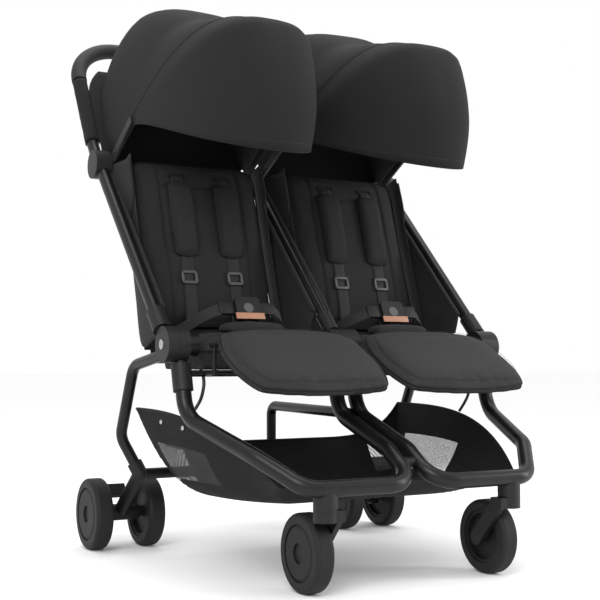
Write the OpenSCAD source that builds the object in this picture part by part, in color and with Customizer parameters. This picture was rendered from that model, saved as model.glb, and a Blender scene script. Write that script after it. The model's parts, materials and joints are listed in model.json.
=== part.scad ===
// Side by side double stroller: two padded seats, two hoods and one basket on a folding tube frame.
// +X is the right-hand side, -Y is the front and +Z is up.
// The origin lies on the floor, below the middle of the stroller.
// Places are given as distances ahead of the rear axle (fwd) and above the floor (h).

/* [Overall] */
// Width over the frame collars and the outer rear wheels
overall_w = 740; // [720:2:780]
// Gap between pieces that move past each other
clear = 0.3; // [0.2:0.05:0.5]
// Radial clearance of a pin or tube in its bore
fit = 0.05; // [0.02:0.01:0.1]

/* [Main hinges] */
// Distance of the hinge axis ahead of the rear axle
hinge_fwd = 386; // [380:1:392]
// Height of the hinge axis above the bars under the seats
hinge_rise = 51; // [46:1:58]
// Diameter of a hinge disc
hub_d = 65; // [60:1:68]
// Thickness of an outer hinge disc
hub_t = 21; // [19:1:23]
// Thickness of a centre hinge disc
centre_t = 20; // [18:1:22]
// Diameter of the hinge pins
pin_d = 10; // [8:0.5:12]
// Length of tube held in a hinge socket
socket_len = 44; // [38:1:50]
// Wall of a socket or collar around its tube
socket_wall = 4; // [3:0.5:5]

/* [Front frames] */
// Diameter of the front frame tube
front_tube_d = 28; // [25:1:30]
// Distance of the front bars ahead of the rear axle
front_bar_fwd = 662; // [656:1:672]
// Height of the front bars
front_bar_h = 178; // [174:1:184]
// Outer corner of a front bar, from the middle of the stroller
front_corner_x = 227; // [222:1:232]
// Where the front arms turn forward under the hinge, ahead of the rear axle
knee_fwd = 420; // [414:1:426]
// Height of the hinge axis above that turn
knee_drop = 127; // [121:1:133]
// Where the front arms level out, ahead of the rear axle
shin_fwd = 585; // [578:1:590]
// Height of that turn
shin_h = 229; // [224:1:234]
// Outer arm at that turn, from the middle of the stroller
shin_x = 284; // [278:1:290]
// Bend radius at the front corners
front_corner_r = 48; // [40:1:54]
// Bend radius of the arms
arm_bend_r = 60; // [45:1:75]
// Diameter of the bar under each seat
seat_bar_d = 12; // [10:1:14]
// Height of the bar under each seat
seat_bar_h = 362; // [358:1:366]

/* [Handle frame] */
// Diameter of the upper frame tube
upper_tube_d = 25; // [22:1:27]
// Diameter of the centre post
centre_tube_d = 22; // [20:1:23]
// Slope of the lower posts above level
post_angle = 45.5; // [44:0.5:47]
// Length of the lower posts, from the hinge to the bend
post_len = 580; // [572:2:600]
// Slope of the upper posts above level
grip_angle = 58.5; // [57:0.5:61]
// Length of the upper posts, from the bend to the handlebar
grip_len = 306; // [296:1:316]
// Bend radius at the ends of the handlebar
handle_corner_r = 105; // [90:1:115]
// Bend radius of the posts
post_bend_r = 150; // [120:5:180]
// Diameter of the foam grip
grip_d = 33; // [31:1:36]
// Diameter of the latch housing in the middle of the handlebar
latch_d = 44; // [42:1:48]
// Length of the latch housing
latch_len = 76; // [66:1:90]
// Diameter of the fold button
button_d = 16; // [13:0.5:18]
// Travel of the fold button
button_travel = 3; // [2:0.25:3.5]

/* [Rear legs] */
// Diameter of the rear leg tube
rear_tube_d = 22; // [20:1:24]
// Elbow of a rear leg, ahead of the rear axle
elbow_fwd = 168; // [160:1:176]
// Height of the hinge axis above that elbow
elbow_drop = 38; // [33:1:45]
// Ankle of a rear leg, ahead of the rear axle
ankle_fwd = 98; // [94:1:102]
// Height of that ankle
ankle_h = 234; // [228:1:240]
// How far the elbow and ankle stand out from the hinge end of the leg
leg_flare = 23; // [18:1:26]
// Top of the wheel bracket, ahead of the rear axle
bracket_fwd = 112; // [108:1:116]
// Height of the top of the wheel bracket
bracket_h = 160; // [156:1:166]
// Diameter of the wheel bracket
bracket_d = 30; // [28:1:34]
// Bend radius of the rear legs
leg_bend_r = 42; // [36:1:48]

/* [Rear wheels] */
// Diameter of a rear wheel
rear_wheel_d = 144; // [136:1:150]
// Width of a rear wheel
rear_wheel_w = 36; // [32:1:38]
// Spacing of the two wheels of a pair
twin_pitch = 111; // [106:1:116]
// Diameter of the axles
axle_d = 10; // [8:0.5:12]
// Outer diameter of the axle housing between two wheels
housing_d = 34; // [31:1:38]

/* [Front casters] */
// Diameter of a front wheel
front_wheel_d = 133; // [128:1:136]
// Width of a front wheel
front_wheel_w = 34; // [30:1:36]
// Swivel axis from the middle of the stroller
caster_x = 189.5; // [184:0.5:194]
// Swivel axis behind the front bar
caster_back = 7; // [4:0.5:10]
// Wheel axle behind the swivel axis
caster_trail = 60; // [56:1:64]
// Diameter of the swivel barrel
barrel_d = 40; // [37:1:42]
// Height of the joint between barrel and fork
swivel_h = 143; // [141:0.5:145]
// Lower edge of the fork crown
crown_h = 124; // [122:0.5:127]
// Thickness of the fork arm
fork_t = 10; // [8:0.5:12]
// Width of the fork arm seen from the side
fork_w = 26; // [22:1:28]

/* [Tyres] */
// Depth of the tread rubber
tyre_t = 19; // [16:1:22]
// Rounding of the tyre shoulders
shoulder_r = 8; // [5:0.5:10]
// Depth of the recess in a wheel's cap
cap_recess = 4; // [2:0.5:6]
// Depth of the dish on a wheel's other side
dish_depth = 12; // [8:1:14]

/* [Brakes] */
// Length of the brake ring on the axle housing
brake_ring_w = 17; // [14:0.5:19]
// Wall of the brake ring
brake_wall = 4; // [3:0.5:5]
// Reach of a brake pedal from the axle
pedal_reach = 66; // [58:1:72]
// Width of a brake pedal
pedal_w = 58; // [50:1:62]
// Thickness of a brake pedal
pedal_t = 9; // [7:0.5:11]
// Angle at which a released pedal stands above level
pedal_angle = 52; // [46:1:58]
// Diameter of the brake cable
cable_d = 5; // [4:0.25:6]

/* [Seats] */
// Length of a seat cushion
seat_len = 196; // [180:2:204]
// Thickness of a seat cushion at its crown
seat_t = 64; // [56:1:72]
// Gap from the seat cushions to the rear legs and centre hinge
seat_gap = 2; // [1:0.5:4]
// Height of a backrest
back_len = 370; // [350:5:380]
// Thickness of a backrest at its crown
back_t = 30; // [26:1:36]
// Lean of the backrests from upright
back_lean = 17; // [14:0.5:20]
// Diameter of the sewn roll on which a backrest turns
roll_d = 10; // [8:0.5:12]
// Thickness of the cloth side panels
panel_t = 3; // [2:0.5:4]
// Diameter of a side panel's sewn edge
hem_d = 10; // [8:0.5:12]

/* [Harnesses] */
// Spacing of the shoulder pads
pad_pitch = 100; // [90:1:110]
// Width of a shoulder pad
pad_w = 46; // [40:1:52]
// Length of a shoulder pad
pad_len = 150; // [140:2:170]
// Thickness of a shoulder pad
pad_t = 14; // [10:1:16]
// Width of the harness webbing
web_w = 25; // [20:1:30]
// Thickness of the harness webbing
web_t = 2; // [1.5:0.25:3]
// Width of a buckle
buckle_w = 52; // [46:1:58]
// Height of a buckle
buckle_l = 46; // [40:1:52]
// Thickness of a buckle
buckle_t = 18; // [16:1:22]
// Diameter of a buckle's button
release_d = 20; // [16:1:24]
// Travel of a buckle's button
release_travel = 3; // [2:0.25:3.5]

/* [Calf rests] */
// Length of a calf rest
calf_len = 214; // [200:2:220]
// Width of a calf rest
calf_w = 298; // [280:2:300]
// Thickness of a calf rest's cushion
calf_t = 24; // [18:1:28]
// Thickness of a calf rest's board
board_t = 5; // [4:0.5:7]
// Slope of a calf rest below level
calf_slope = 30; // [26:1:34]
// Calf rest hinge ahead of the rear axle
calf_fwd = 440; // [436:1:444]
// Height of the calf rest hinge above the bars under the seats
calf_rise = 49; // [46:1:52]
// Diameter of the calf rest's hinge rod
rod_d = 8; // [6:0.5:10]

/* [Hoods] */
// Distance of the hood pivots down the posts from the bend
hood_drop = 52; // [45:1:60]
// Thickness of the hood cloth with its binding
hood_t = 3; // [2:0.5:4]
// Reach of the hood's rear edge from its pivots
hood_rear_r = 284; // [274:1:292]
// Reach of the rear bow
hood_bow_r = 342; // [336:1:350]
// Reach of the dip behind the seam
hood_dip_r = 342; // [336:1:350]
// Reach of the seam where the visor starts
hood_seam_r = 432; // [424:1:438]
// Reach of the front bow
hood_front_r = 492; // [482:1:498]
// Reach of the visor's middle at its lower edge
hood_hem_r = 478; // [468:1:486]
// Reach of the visor's lower corners
hood_corner_r = 134; // [128:1:140]
// Angle of the rear bow around the pivots, from level at the back
hood_bow_angle = 95; // [92:1:98]
// Angle of the dip behind the seam
hood_dip_angle = 124; // [121:1:127]
// Angle of the seam where the visor starts
hood_seam_angle = 147; // [145:1:149]
// Angle of the front bow
hood_front_angle = 156; // [154:1:158]
// Angle of the visor's lower edge in its middle
hood_hem_angle = 184; // [181:1:187]

/* [Basket] */
// Rear wall of the basket ahead of the rear axle
basket_rear_fwd = 126; // [122:1:134]
// Length of the basket
basket_len = 478; // [460:2:480]
// Height of the basket floor at the back
basket_floor_h = 118; // [114:1:124]
// Rise of the floor towards the front
basket_rise = 20; // [16:1:26]
// Height of the rim at the rear corners
basket_rim_h = 290; // [280:1:298]
// Height of the rim in the middle of the back
basket_back_h = 217; // [210:1:226]
// Height of the rim at the front
basket_front_h = 178; // [172:1:184]
// Half width of the rim at the back
basket_rear_x = 312; // [300:1:314]
// Half width of the rim at the front
basket_front_x = 246; // [236:1:248]
// Thickness of the basket cloth
basket_t = 3; // [2:0.5:4]
// Diameter of the stay behind the basket
stay_d = 20; // [18:1:22]

/* [Hidden] */
$fn = 48;

// Heights that go with the bars under the seats, and the hood pivots with the bend of the posts
hinge_h = seat_bar_h + hinge_rise;
knee_h = hinge_h - knee_drop;
elbow_h = hinge_h - elbow_drop;
calf_h = seat_bar_h + calf_rise;
hood_up = post_len - hood_drop;

// Stations across the stroller
half_w = overall_w / 2;
collar_d = upper_tube_d + 2 * socket_wall;
tube_x = half_w - collar_d / 2;
arm_x = tube_x - hub_t - clear;
leg_x = arm_x - hub_t / 2 - clear - rear_tube_d / 2;
inner_x = centre_t + clear;
wheel_out_x = half_w - rear_wheel_w / 2;
wheel_in_x = wheel_out_x - twin_pitch;
pair_x = (wheel_out_x + wheel_in_x) / 2;

// Directions and points of the frame
rise = [0, cos(post_angle), sin(post_angle)];
grip_rise = [0, cos(grip_angle), sin(grip_angle)];
hinge = [0, -hinge_fwd, hinge_h];
bend_pt = hinge + post_len * rise;
bar_pt = bend_pt + grip_len * grip_rise;
hood_pt = hinge + hood_up * rise;
knee_pt = [0, -knee_fwd, knee_h];
down = unit(knee_pt - hinge);
tube_start = hub_d / 2 + 2 * socket_wall;
socket_end = tube_start + socket_len;
axle_h = rear_wheel_d / 2;
bracket_pt = [pair_x, -bracket_fwd, bracket_h];
axle_pt = [pair_x, 0, axle_h];
calf_pt = [0, -calf_fwd, calf_h];
bar_p = hinge + (hinge_h - seat_bar_h) / (hinge_h - knee_h) * (knee_pt - hinge);
front_reach = front_bar_fwd + front_tube_d / 2;
rear_reach = bar_pt.y + latch_d / 2;
shift_y = (front_reach - rear_reach) / 2;
overrun = 1;
bead_len = 1.6;
bead_lip = 0.2;

ankle_pt = [leg_x + leg_flare, -ankle_fwd, ankle_h];
leg_dir = unit(ankle_pt - bracket_pt);

// Paths of the bent tubes, on the right-hand side
arm_path = [
  hinge + arm_x * [1, 0, 0] + tube_start * down,
  [arm_x, -knee_fwd, knee_h],
  [shin_x, -shin_fwd, shin_h],
  [front_corner_x, -front_bar_fwd, front_bar_h],
  [inner_x, -front_bar_fwd, front_bar_h],
  [inner_x, -shin_fwd, shin_h],
  [inner_x, -knee_fwd, knee_h],
  hinge + inner_x * [1, 0, 0] + tube_start * down
];
arm_bends = [arm_bend_r, arm_bend_r, front_corner_r, front_corner_r, arm_bend_r, arm_bend_r];
handle_path = [
  hinge + tube_x * [1, 0, 0] + tube_start * rise,
  bend_pt + tube_x * [1, 0, 0],
  bar_pt + tube_x * [1, 0, 0],
  bar_pt - tube_x * [1, 0, 0],
  bend_pt - tube_x * [1, 0, 0],
  hinge - tube_x * [1, 0, 0] + tube_start * rise
];
handle_bends = [post_bend_r, handle_corner_r, handle_corner_r, post_bend_r];
post_end = bar_pt - (latch_d / 2) * grip_rise;
leg_path = [
  hinge + leg_x * [1, 0, 0],
  [leg_x + leg_flare, -elbow_fwd, elbow_h],
  ankle_pt,
  bracket_pt + bracket_d / 4 * leg_dir
];

// Small sizes of single pieces
screw_head_d = pin_d + 2 * socket_wall;
screw_head_t = 2;
cup_depth = 26;
cap_wall = 3;
cap_rim = 6;
wheel_gap = 0.7;
crown_gap = 1.2;
stem_up = 16;
rim_t = 8;
pad_rim_t = 5;
calf_rim_t = 9;
groove = 4;
seat_rim_t = 32;
seat_round_share = 0.25;
seat_pull_share = 0.03;
back_round_share = 0.22;
pad_round_share = 0.35;
pad_pull_share = 0.02;
calf_round_share = 0.55;
board_share = 0.8;
pad_groove = 2.5;
hood_arm_t = 4;
hood_side = half_w - collar_d - hood_arm_t - 2 * clear;
hood_in = centre_tube_d / 2 + socket_wall + hood_arm_t + 2 * clear;
hood_x = (hood_side + hood_in) / 2;
hood_w = (hood_side - hood_in) / 2;
hood_nest = 2.4;
hood_rear_angle = grip_angle;
hood_arm_w = 16;
hood_arm_len = 150;
hood_pivot_d = 9;
hood_rivet_d = 8;
hood_open_r = 24;
hood_overlap_angle = 4;
hood_tuck_share = 0.94;
hood_corner_angle = 4;
hood_rear_power = 4;
hood_seam_power = 2.9;
hood_hem_power = 2.2;
collar_len = 46;
collar_disc_d = 60;
cuff_t = 3;
wing_gap = 11;
wing_low = 74;
wing_top = 215;
cuff_low = 20;
cuff_top = grip_len - handle_corner_r - 2 * socket_wall;
seat_in = inner_x + centre_t / 2 + seat_gap;
seat_out = leg_x - rear_tube_d / 2 - seat_gap;
seat_x = (seat_in + seat_out) / 2;
seat_w = seat_out - seat_in;
seat_rear_fwd = -bar_p.y - seat_len;
seat_base_h = seat_bar_h + seat_bar_d / 2 + clear;
back_in = hood_in + 2 * hood_t + 2 * clear + roll_d / 2;
back_out = hood_side - 2 * hood_t - 2 * clear - roll_d / 2;
back_x = (back_in + back_out) / 2;
back_w = back_out - back_in;
roll_fwd = seat_rear_fwd + seat_pull_share * seat_len / 2 - roll_d / 2 - clear;
roll_h = seat_base_h + seat_rim_t / 2;
roll_pt = [0, -roll_fwd, roll_h];
back_lift = 60;
pad_drop = 58;
calf_x = calf_w / 2 + seat_gap;
calf_back = 28;
grip_lift = 0.2;
sleeve_wall = 3;
buckle_fwd = 330;
buckle_lift = 28;
strap_drop = 2.4;
buckle_lean = 25;
basket_wall_power = 8;
basket_sag_power = 6;
basket_flare_share = 0.93;
basket_end_share = 0.78;
basket_front_power = 3;
panel_start = 95;
panel_gap = 38;
panel_mid_share = 0.671;
panel_end = hood_up - panel_gap;
panel_mid = panel_start + panel_mid_share * (panel_end - panel_start);

// Unit vector along v
function unit(v) = v / norm(v);
// Angle between two directions
function turn(a, b) = acos(max(-1, min(1, unit(a) * unit(b))));
// Signed power, for rounded arches
function spow(v, p) = sign(v) * pow(abs(v), p);

// Moves the part so that its middle stands over the origin
module seated() {
  translate([0, shift_y, 0]) children();
}

// The left-hand copy of a right-hand piece
module left() {
  mirror([1, 0, 0]) children();
}

// Places children with the given origin and axes
module framed(o, x, y, z) {
  multmatrix([
    [x[0], y[0], z[0], o[0]],
    [x[1], y[1], z[1], o[1]],
    [x[2], y[2], z[2], o[2]],
    [0, 0, 0, 1]
  ]) children();
}

// Places children at a, with their z axis towards b
module aimed(a, b) {
  z = unit(b - a);
  hint = abs(z[0]) > cos(45) ? [0, 0, 1] : [1, 0, 0];
  x = unit(hint - (hint * z) * z);
  framed(a, x, cross(z, x), z) children();
}

// A straight rod from a to b
module rod(a, b, d) {
  aimed(a, b) cylinder(h = norm(b - a), d = d);
}

// A cylinder across the stroller, from x0 to x1
module across(x0, x1, p, d) {
  rod([x0, p[1], p[2]], [x1, p[1], p[2]], d);
}

// One round bend of a tube at corner p, between directions a and b
module tube_bend(p, a, b, r, d) {
  angle = turn(a, b);
  centre = p + unit(b - a) * r / cos(angle / 2);
  x = unit(p - a * r * tan(angle / 2) - centre);
  framed(centre, x, a, cross(x, a)) rotate_extrude(angle = angle) translate([r, 0]) circle(d = d);
}

// A bent round tube through the corners of a path, with one radius for each corner.
// A faint bead marks where each bend starts and ends.
module bent_tube(path, bends, d) {
  last = len(path) - 1;
  dirs = [for (i = [0:last - 1]) unit(path[i + 1] - path[i])];
  cuts = [
    for (i = [0:last]) i == 0 || i == last ? 0 : bends[i - 1] * tan(turn(dirs[i - 1], dirs[i]) / 2)
  ];
  for (i = [0:last - 1]) {
    rod(path[i] + cuts[i] * dirs[i], path[i + 1] - cuts[i + 1] * dirs[i], d);
  }
  for (i = [1:last - 1]) {
    tube_bend(path[i], dirs[i - 1], dirs[i], bends[i - 1], d);
    for (way = [-dirs[i - 1], dirs[i]]) {
      bead = path[i] + cuts[i] * way;
      rod(bead - bead_len / 2 * way, bead + bead_len / 2 * way, d + bead_lip);
    }
  }
}

// Triangles of a grid of points with n by m cells
function grid_faces(n, m) =
  let (row = n + 1) [
    for (j = [0:m - 1]) for (i = [0:n - 1])
      let (a = j * row + i, b = a + 1, c = b + row, d = a + row) for (f = [[a, d, c], [a, c, b]]) f
  ];
// Points along the edge of that grid, in order around it
function grid_ring(n, m) =
  let (row = n + 1) concat(
    [for (i = [0:n - 1]) i],
    [for (j = [0:m - 1]) j * row + n],
    [for (i = [0:n - 1]) m * row + n - i],
    [for (j = [0:m - 1]) (m - j) * row]
  );

// A closed solid between two grids of points, the upper one facing outwards
module slab(upper, lower, n, m) {
  size = len(upper);
  ring = grid_ring(n, m);
  around = len(ring);
  sheet = grid_faces(n, m);
  under = [for (f = sheet) [f[2] + size, f[1] + size, f[0] + size]];
  sides = [
    for (k = [0:around - 1])
      let (a = ring[k], b = ring[(k + 1) % around]) for (f = [[a, b, b + size], [a, b + size, a + size]]) f
  ];
  polyhedron(points = concat(upper, lower), faces = concat(sheet, under, sides));
}

// A sewn cushion on its flat lower face: crowned, with drawn-in sides, rounded corners and channels.
// The channels lie across it at the given shares of its length.
module cushion(w, l, t, rim, round_share, pull_share, channel_shares, depth, n, m) {
  band_share = 0.16;
  grid = [
    for (j = [0:m]) for (i = [0:n])
      let (
        u = -1 + 2 * i / n,
        v = -1 + 2 * j / m,
        x = u * sqrt(1 - round_share * v * v / 2) * (1 - pull_share * (1 - v * v)),
        y = v * sqrt(1 - round_share * u * u / 2) * (1 - pull_share * (1 - u * u)),
        full = (1 - pow(abs(u), 4)) * (1 - pow(abs(v), 4)),
        dents = [for (c = channel_shares) pow(max(0, 1 - abs(v - c) / band_share), 2)],
        dent = len(dents) == 0 ? 0 : max(dents)
      ) [x * w / 2, y * l / 2, rim + (t - rim) * pow(full, 0.5) - depth * dent * full]
  ];
  ring = grid_ring(n, m);
  around = len(ring);
  low = len(grid);
  foot = [for (k = ring) [grid[k][0], grid[k][1], 0]];
  sides = [
    for (k = [0:around - 1])
      let (next = (k + 1) % around, a = ring[k], b = ring[next], c = low + next, d = low + k)
        [[a, b, c], [a, c, d], [d, c, low + around]]
  ];
  polyhedron(
    points = concat(grid, foot, [[0, 0, 0]]),
    faces = concat(grid_faces(n, m), [for (group = sides) for (f = group) f])
  );
}

// Tube of one front frame with its seat bar and calf rest rod welded on
module front_frame() {
  rod_out = seat_out - seat_gap;
  rod_in = seat_in;
  bent_tube(arm_path, arm_bends, front_tube_d);
  across(inner_x, arm_x, bar_p, seat_bar_d);
  across(rod_in, rod_out, calf_pt, rod_d);
  for (x = [rod_in + rod_d, rod_out - rod_d]) {
    rod([x, bar_p.y, bar_p.z], [x, calf_pt.y, bar_p.z], rod_d);
    rod([x, calf_pt.y, bar_p.z - rod_d / 2], [x, calf_pt.y, calf_pt.z], rod_d);
  }
}
module front_frame_right() seated() color([0.09, 0.09, 0.1]) front_frame();
module front_frame_left() seated() left() color([0.09, 0.09, 0.1]) front_frame();

// Both inner arms with their fitting gap, for coping what seats on them
module inner_arms() {
  inner_path = [for (i = [4:7]) arm_path[i]];
  bends = [arm_bend_r, arm_bend_r];
  for (side = [0, 1]) mirror([side, 0, 0]) bent_tube(inner_path, bends, front_tube_d + 2 * fit);
}

// Link that ties the two front frames together between the inner arms
module frame_link() seated() color([0.1, 0.1, 0.11]) {
  share = 0.4;
  p = arm_path[5] + share * (arm_path[4] - arm_path[5]);
  difference() {
    across(-inner_x, inner_x, p, stay_d);
    inner_arms();
  }
}

// Hinge disc at x with a socket for the tube that leaves it along dir
module hinge_knuckle(x, t, d, dir, tube_d) {
  o = hinge + x * [1, 0, 0];
  neck_end = tube_start + socket_wall;
  difference() {
    union() {
      across(x - t / 2, x + t / 2, hinge, d);
      rod(o, o + neck_end * dir, t);
      rod(o + (tube_start - socket_wall) * dir, o + socket_end * dir, tube_d + 2 * socket_wall);
    }
    rod(o + tube_start * dir, o + (socket_end + overrun) * dir, tube_d + 2 * fit);
    across(x - t / 2 - overrun, x + t / 2 + overrun, hinge, pin_d + 2 * fit);
  }
}
// Lower hinge disc at x, drilled for the seat bar
module lower_knuckle(x, t) {
  difference() {
    hinge_knuckle(x, t, hub_d, down, front_tube_d);
    across(inner_x, arm_x, bar_p, seat_bar_d + 2 * fit);
  }
}
module lower_hub() lower_knuckle(arm_x, hub_t);
module lower_hub_right() seated() color([0.12, 0.12, 0.13]) lower_hub();
module lower_hub_left() seated() left() color([0.12, 0.12, 0.13]) lower_hub();
module upper_hub() hinge_knuckle(tube_x, hub_t, hub_d, rise, upper_tube_d);
module upper_hub_right() seated() color([0.12, 0.12, 0.13]) upper_hub();
module upper_hub_left() seated() left() color([0.12, 0.12, 0.13]) upper_hub();
module centre_upper_hub() seated() color([0.12, 0.12, 0.13]) {
  hinge_knuckle(0, centre_t, hub_d, rise, centre_tube_d);
}
module centre_lower_hubs() seated() color([0.12, 0.12, 0.13]) {
  for (side = [0, 1]) mirror([side, 0, 0]) {
    lower_knuckle(inner_x, centre_t);
  }
}

// Pins of the two outer hinges and of the centre hinge
module hinge_pins() seated() color([0.7, 0.7, 0.72]) {
  pin_in = leg_x - rear_tube_d / 2;
  pin_out = tube_x + hub_t / 2;
  for (side = [0, 1]) mirror([side, 0, 0]) across(pin_in, pin_out, hinge, pin_d);
  across(-inner_x - centre_t / 2, inner_x + centre_t / 2, hinge, pin_d);
}

// Round heads that close the outer hinges
module hub_screws() seated() color([0.35, 0.35, 0.37]) {
  face = tube_x + hub_t / 2;
  for (side = [0, 1]) mirror([side, 0, 0]) difference() {
    across(face, face + screw_head_t, hinge, screw_head_d);
    across(face + screw_head_t / 2, face + screw_head_t + overrun, hinge, pin_d / 2);
  }
}

// Caster barrel that cradles the front bar and holds the swivel stem
module caster_socket() {
  p = [caster_x, caster_back - front_bar_fwd, 0];
  difference() {
    translate(p + [0, 0, swivel_h + clear]) cylinder(h = front_bar_h - swivel_h, d = barrel_d);
    bent_tube(arm_path, arm_bends, front_tube_d + 2 * fit);
    translate(p + [0, 0, swivel_h - overrun]) cylinder(h = stem_up + 2 * overrun, d = axle_d + 2 * fit);
  }
}
module caster_socket_right() seated() color([0.13, 0.13, 0.14]) caster_socket();
module caster_socket_left() seated() left() color([0.13, 0.13, 0.14]) caster_socket();

// Single-sided caster fork with its stem and its axle
module caster_fork() {
  p = [caster_x, caster_back - front_bar_fwd, 0];
  crown_t = swivel_h - crown_h;
  arm_in = -front_wheel_w / 2 - crown_gap - fork_t;
  top = p + [arm_in, 0, crown_h + crown_t / 2];
  hub = p + [arm_in, caster_trail, front_wheel_d / 2];
  dir = unit(hub - top);
  ear_w = fork_w + 2 * bead_len;
  translate(p + [0, 0, crown_h]) linear_extrude(crown_t) {
    circle(d = barrel_d);
    translate([arm_in - bead_len, -ear_w / 2]) square([bead_len - arm_in, ear_w]);
  }
  translate(p + [0, 0, crown_h + crown_t / 2]) cylinder(h = crown_t / 2 + stem_up, d = axle_d);
  framed(top, dir, cross([1, 0, 0], dir), [1, 0, 0]) linear_extrude(fork_t) {
    translate([0, -fork_w / 2]) square([norm(hub - top), fork_w]);
    translate([norm(hub - top), 0]) circle(d = ear_w);
  }
  axle_end = caster_x + front_wheel_w / 2 - cap_recess - cap_wall - wheel_gap;
  across(hub.x + fork_t / 2, axle_end, hub, axle_d);
}
module caster_fork_right() seated() color([0.13, 0.13, 0.14]) caster_fork();
module caster_fork_left() seated() left() color([0.13, 0.13, 0.14]) caster_fork();

// Tyre with rounded shoulders around the z axis
module tyre(d, w) {
  r = d / 2;
  rotate_extrude() union() {
    translate([r - tyre_t, -w / 2]) square([tyre_t - shoulder_r, w]);
    translate([r - tyre_t, shoulder_r - w / 2]) square([tyre_t, w - 2 * shoulder_r]);
    for (y = [shoulder_r - w / 2, w / 2 - shoulder_r]) translate([r - shoulder_r, y]) circle(r = shoulder_r);
  }
}

// Wheel disc around the z axis: closed cap with a recess on top, dished below, bored for the axle
module wheel_disc(d, w) {
  r = d / 2 - tyre_t - fit;
  boss_r = axle_d / 2 + cap_rim;
  rotate_extrude() polygon([
    [axle_d / 2 + fit, -w / 2],
    [boss_r, -w / 2],
    [boss_r, dish_depth - w / 2],
    [r - cap_rim, dish_depth - w / 2],
    [r - cap_rim, cap_wall - w / 2],
    [r, cap_wall - w / 2],
    [r, w / 2 - cap_wall],
    [r - cap_rim, w / 2],
    [boss_r + cap_rim, w / 2],
    [boss_r + cap_rim, w / 2 - cap_recess],
    [0, w / 2 - cap_recess],
    [0, w / 2 - cap_recess - cap_wall],
    [axle_d / 2 + fit, w / 2 - cap_recess - cap_wall]
  ]);
}

// A whole wheel on an axle across the stroller, its cap facing out
module wheel(x, p, d, w, out) {
  translate([x, p[1], p[2]]) rotate([0, 90 * out, 0]) {
    color([0.2, 0.2, 0.2]) tyre(d, w);
    color([0.24, 0.24, 0.24]) wheel_disc(d, w);
  }
}
rear_p = [0, 0, axle_h];
front_p = [0, caster_back - front_bar_fwd + caster_trail, front_wheel_d / 2];
module rear_wheel_right_outer() seated() wheel(wheel_out_x, rear_p, rear_wheel_d, rear_wheel_w, 1);
module rear_wheel_right_inner() seated() wheel(wheel_in_x, rear_p, rear_wheel_d, rear_wheel_w, -1);
module rear_wheel_left_outer() seated() left() wheel(wheel_out_x, rear_p, rear_wheel_d, rear_wheel_w, 1);
module rear_wheel_left_inner() seated() left() wheel(wheel_in_x, rear_p, rear_wheel_d, rear_wheel_w, -1);
module front_wheel_right() seated() wheel(caster_x, front_p, front_wheel_d, front_wheel_w, 1);
module front_wheel_left() seated() left() wheel(caster_x, front_p, front_wheel_d, front_wheel_w, 1);

// Axles of the two rear wheel pairs
module rear_axles() seated() color([0.7, 0.7, 0.72]) {
  reach = twin_pitch / 2 + rear_wheel_w / 2 - cap_recess - cap_wall - wheel_gap;
  for (side = [0, 1]) mirror([side, 0, 0]) across(pair_x - reach, pair_x + reach, rear_p, axle_d);
}

// Bent rear leg with its hinge lug, relieved beside the hinge disc
module rear_leg() {
  lug_d = rear_tube_d + 2 * pin_d;
  difference() {
    union() {
      across(leg_x - rear_tube_d / 2, leg_x + rear_tube_d / 2, hinge, lug_d);
      bent_tube(leg_path, [leg_bend_r, leg_bend_r], rear_tube_d);
    }
    across(leg_x - rear_tube_d, leg_x + rear_tube_d, hinge, pin_d + 2 * fit);
    across(leg_x + rear_tube_d / 2, arm_x, hinge, hub_d + 2 * clear);
  }
}
module rear_leg_right() seated() color([0.09, 0.09, 0.1]) rear_leg();
module rear_leg_left() seated() left() color([0.09, 0.09, 0.1]) rear_leg();

// Tube that ties the two wheel brackets together
module rear_cross_tube() seated() color([0.09, 0.09, 0.1]) {
  reach = pair_x - bracket_d / 4;
  across(-reach, reach, bracket_pt, rear_tube_d);
}

// Moulded bracket that carries a pair of rear wheels
module wheel_bracket() {
  inset = bracket_d / 4;
  housing_in = wheel_in_x + rear_wheel_w / 2 + wheel_gap;
  housing_out = wheel_out_x - rear_wheel_w / 2 - wheel_gap;
  difference() {
    union() {
      translate(bracket_pt) sphere(d = bracket_d);
      rod(bracket_pt, bracket_pt + cup_depth * leg_dir, bracket_d);
      rod(bracket_pt, axle_pt, bracket_d);
      across(housing_in, housing_out, axle_pt, housing_d);
    }
    rod(bracket_pt + inset * leg_dir, bracket_pt + (cup_depth + overrun) * leg_dir, rear_tube_d + 2 * fit);
    across(wheel_in_x, pair_x - inset, bracket_pt, rear_tube_d + 2 * fit);
    across(wheel_in_x, wheel_out_x, axle_pt, axle_d + 2 * fit);
  }
}
module wheel_bracket_right() seated() color([0.12, 0.12, 0.13]) wheel_bracket();
module wheel_bracket_left() seated() left() color([0.12, 0.12, 0.13]) wheel_bracket();

// Foot pedal of a brake, on a ring around the axle housing
module brake_pedal() {
  ring_out = wheel_out_x - rear_wheel_w / 2 - 2 * wheel_gap;
  ring_d = housing_d + 2 * brake_wall;
  dir = [0, cos(pedal_angle), sin(pedal_angle)];
  difference() {
    union() {
      across(ring_out - brake_ring_w, ring_out, axle_pt, ring_d);
      framed([ring_out, 0, axle_h], [-1, 0, 0], dir, cross([-1, 0, 0], dir)) {
        translate([0, ring_d / 2 - brake_wall, -pedal_t / 2]) {
          cube([brake_ring_w, pedal_reach - ring_d / 2 + brake_wall, pedal_t]);
        }
        translate([0, pedal_reach - pedal_w / 2, -pedal_t / 2]) cube([pedal_w, pedal_w / 2, pedal_t]);
      }
    }
    across(ring_out - brake_ring_w - overrun, ring_out + overrun, axle_pt, housing_d + 2 * fit);
  }
}
module brake_pedal_right() seated() color([0.15, 0.15, 0.16]) brake_pedal();
module brake_pedal_left() seated() left() color([0.15, 0.15, 0.16]) brake_pedal();

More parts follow.
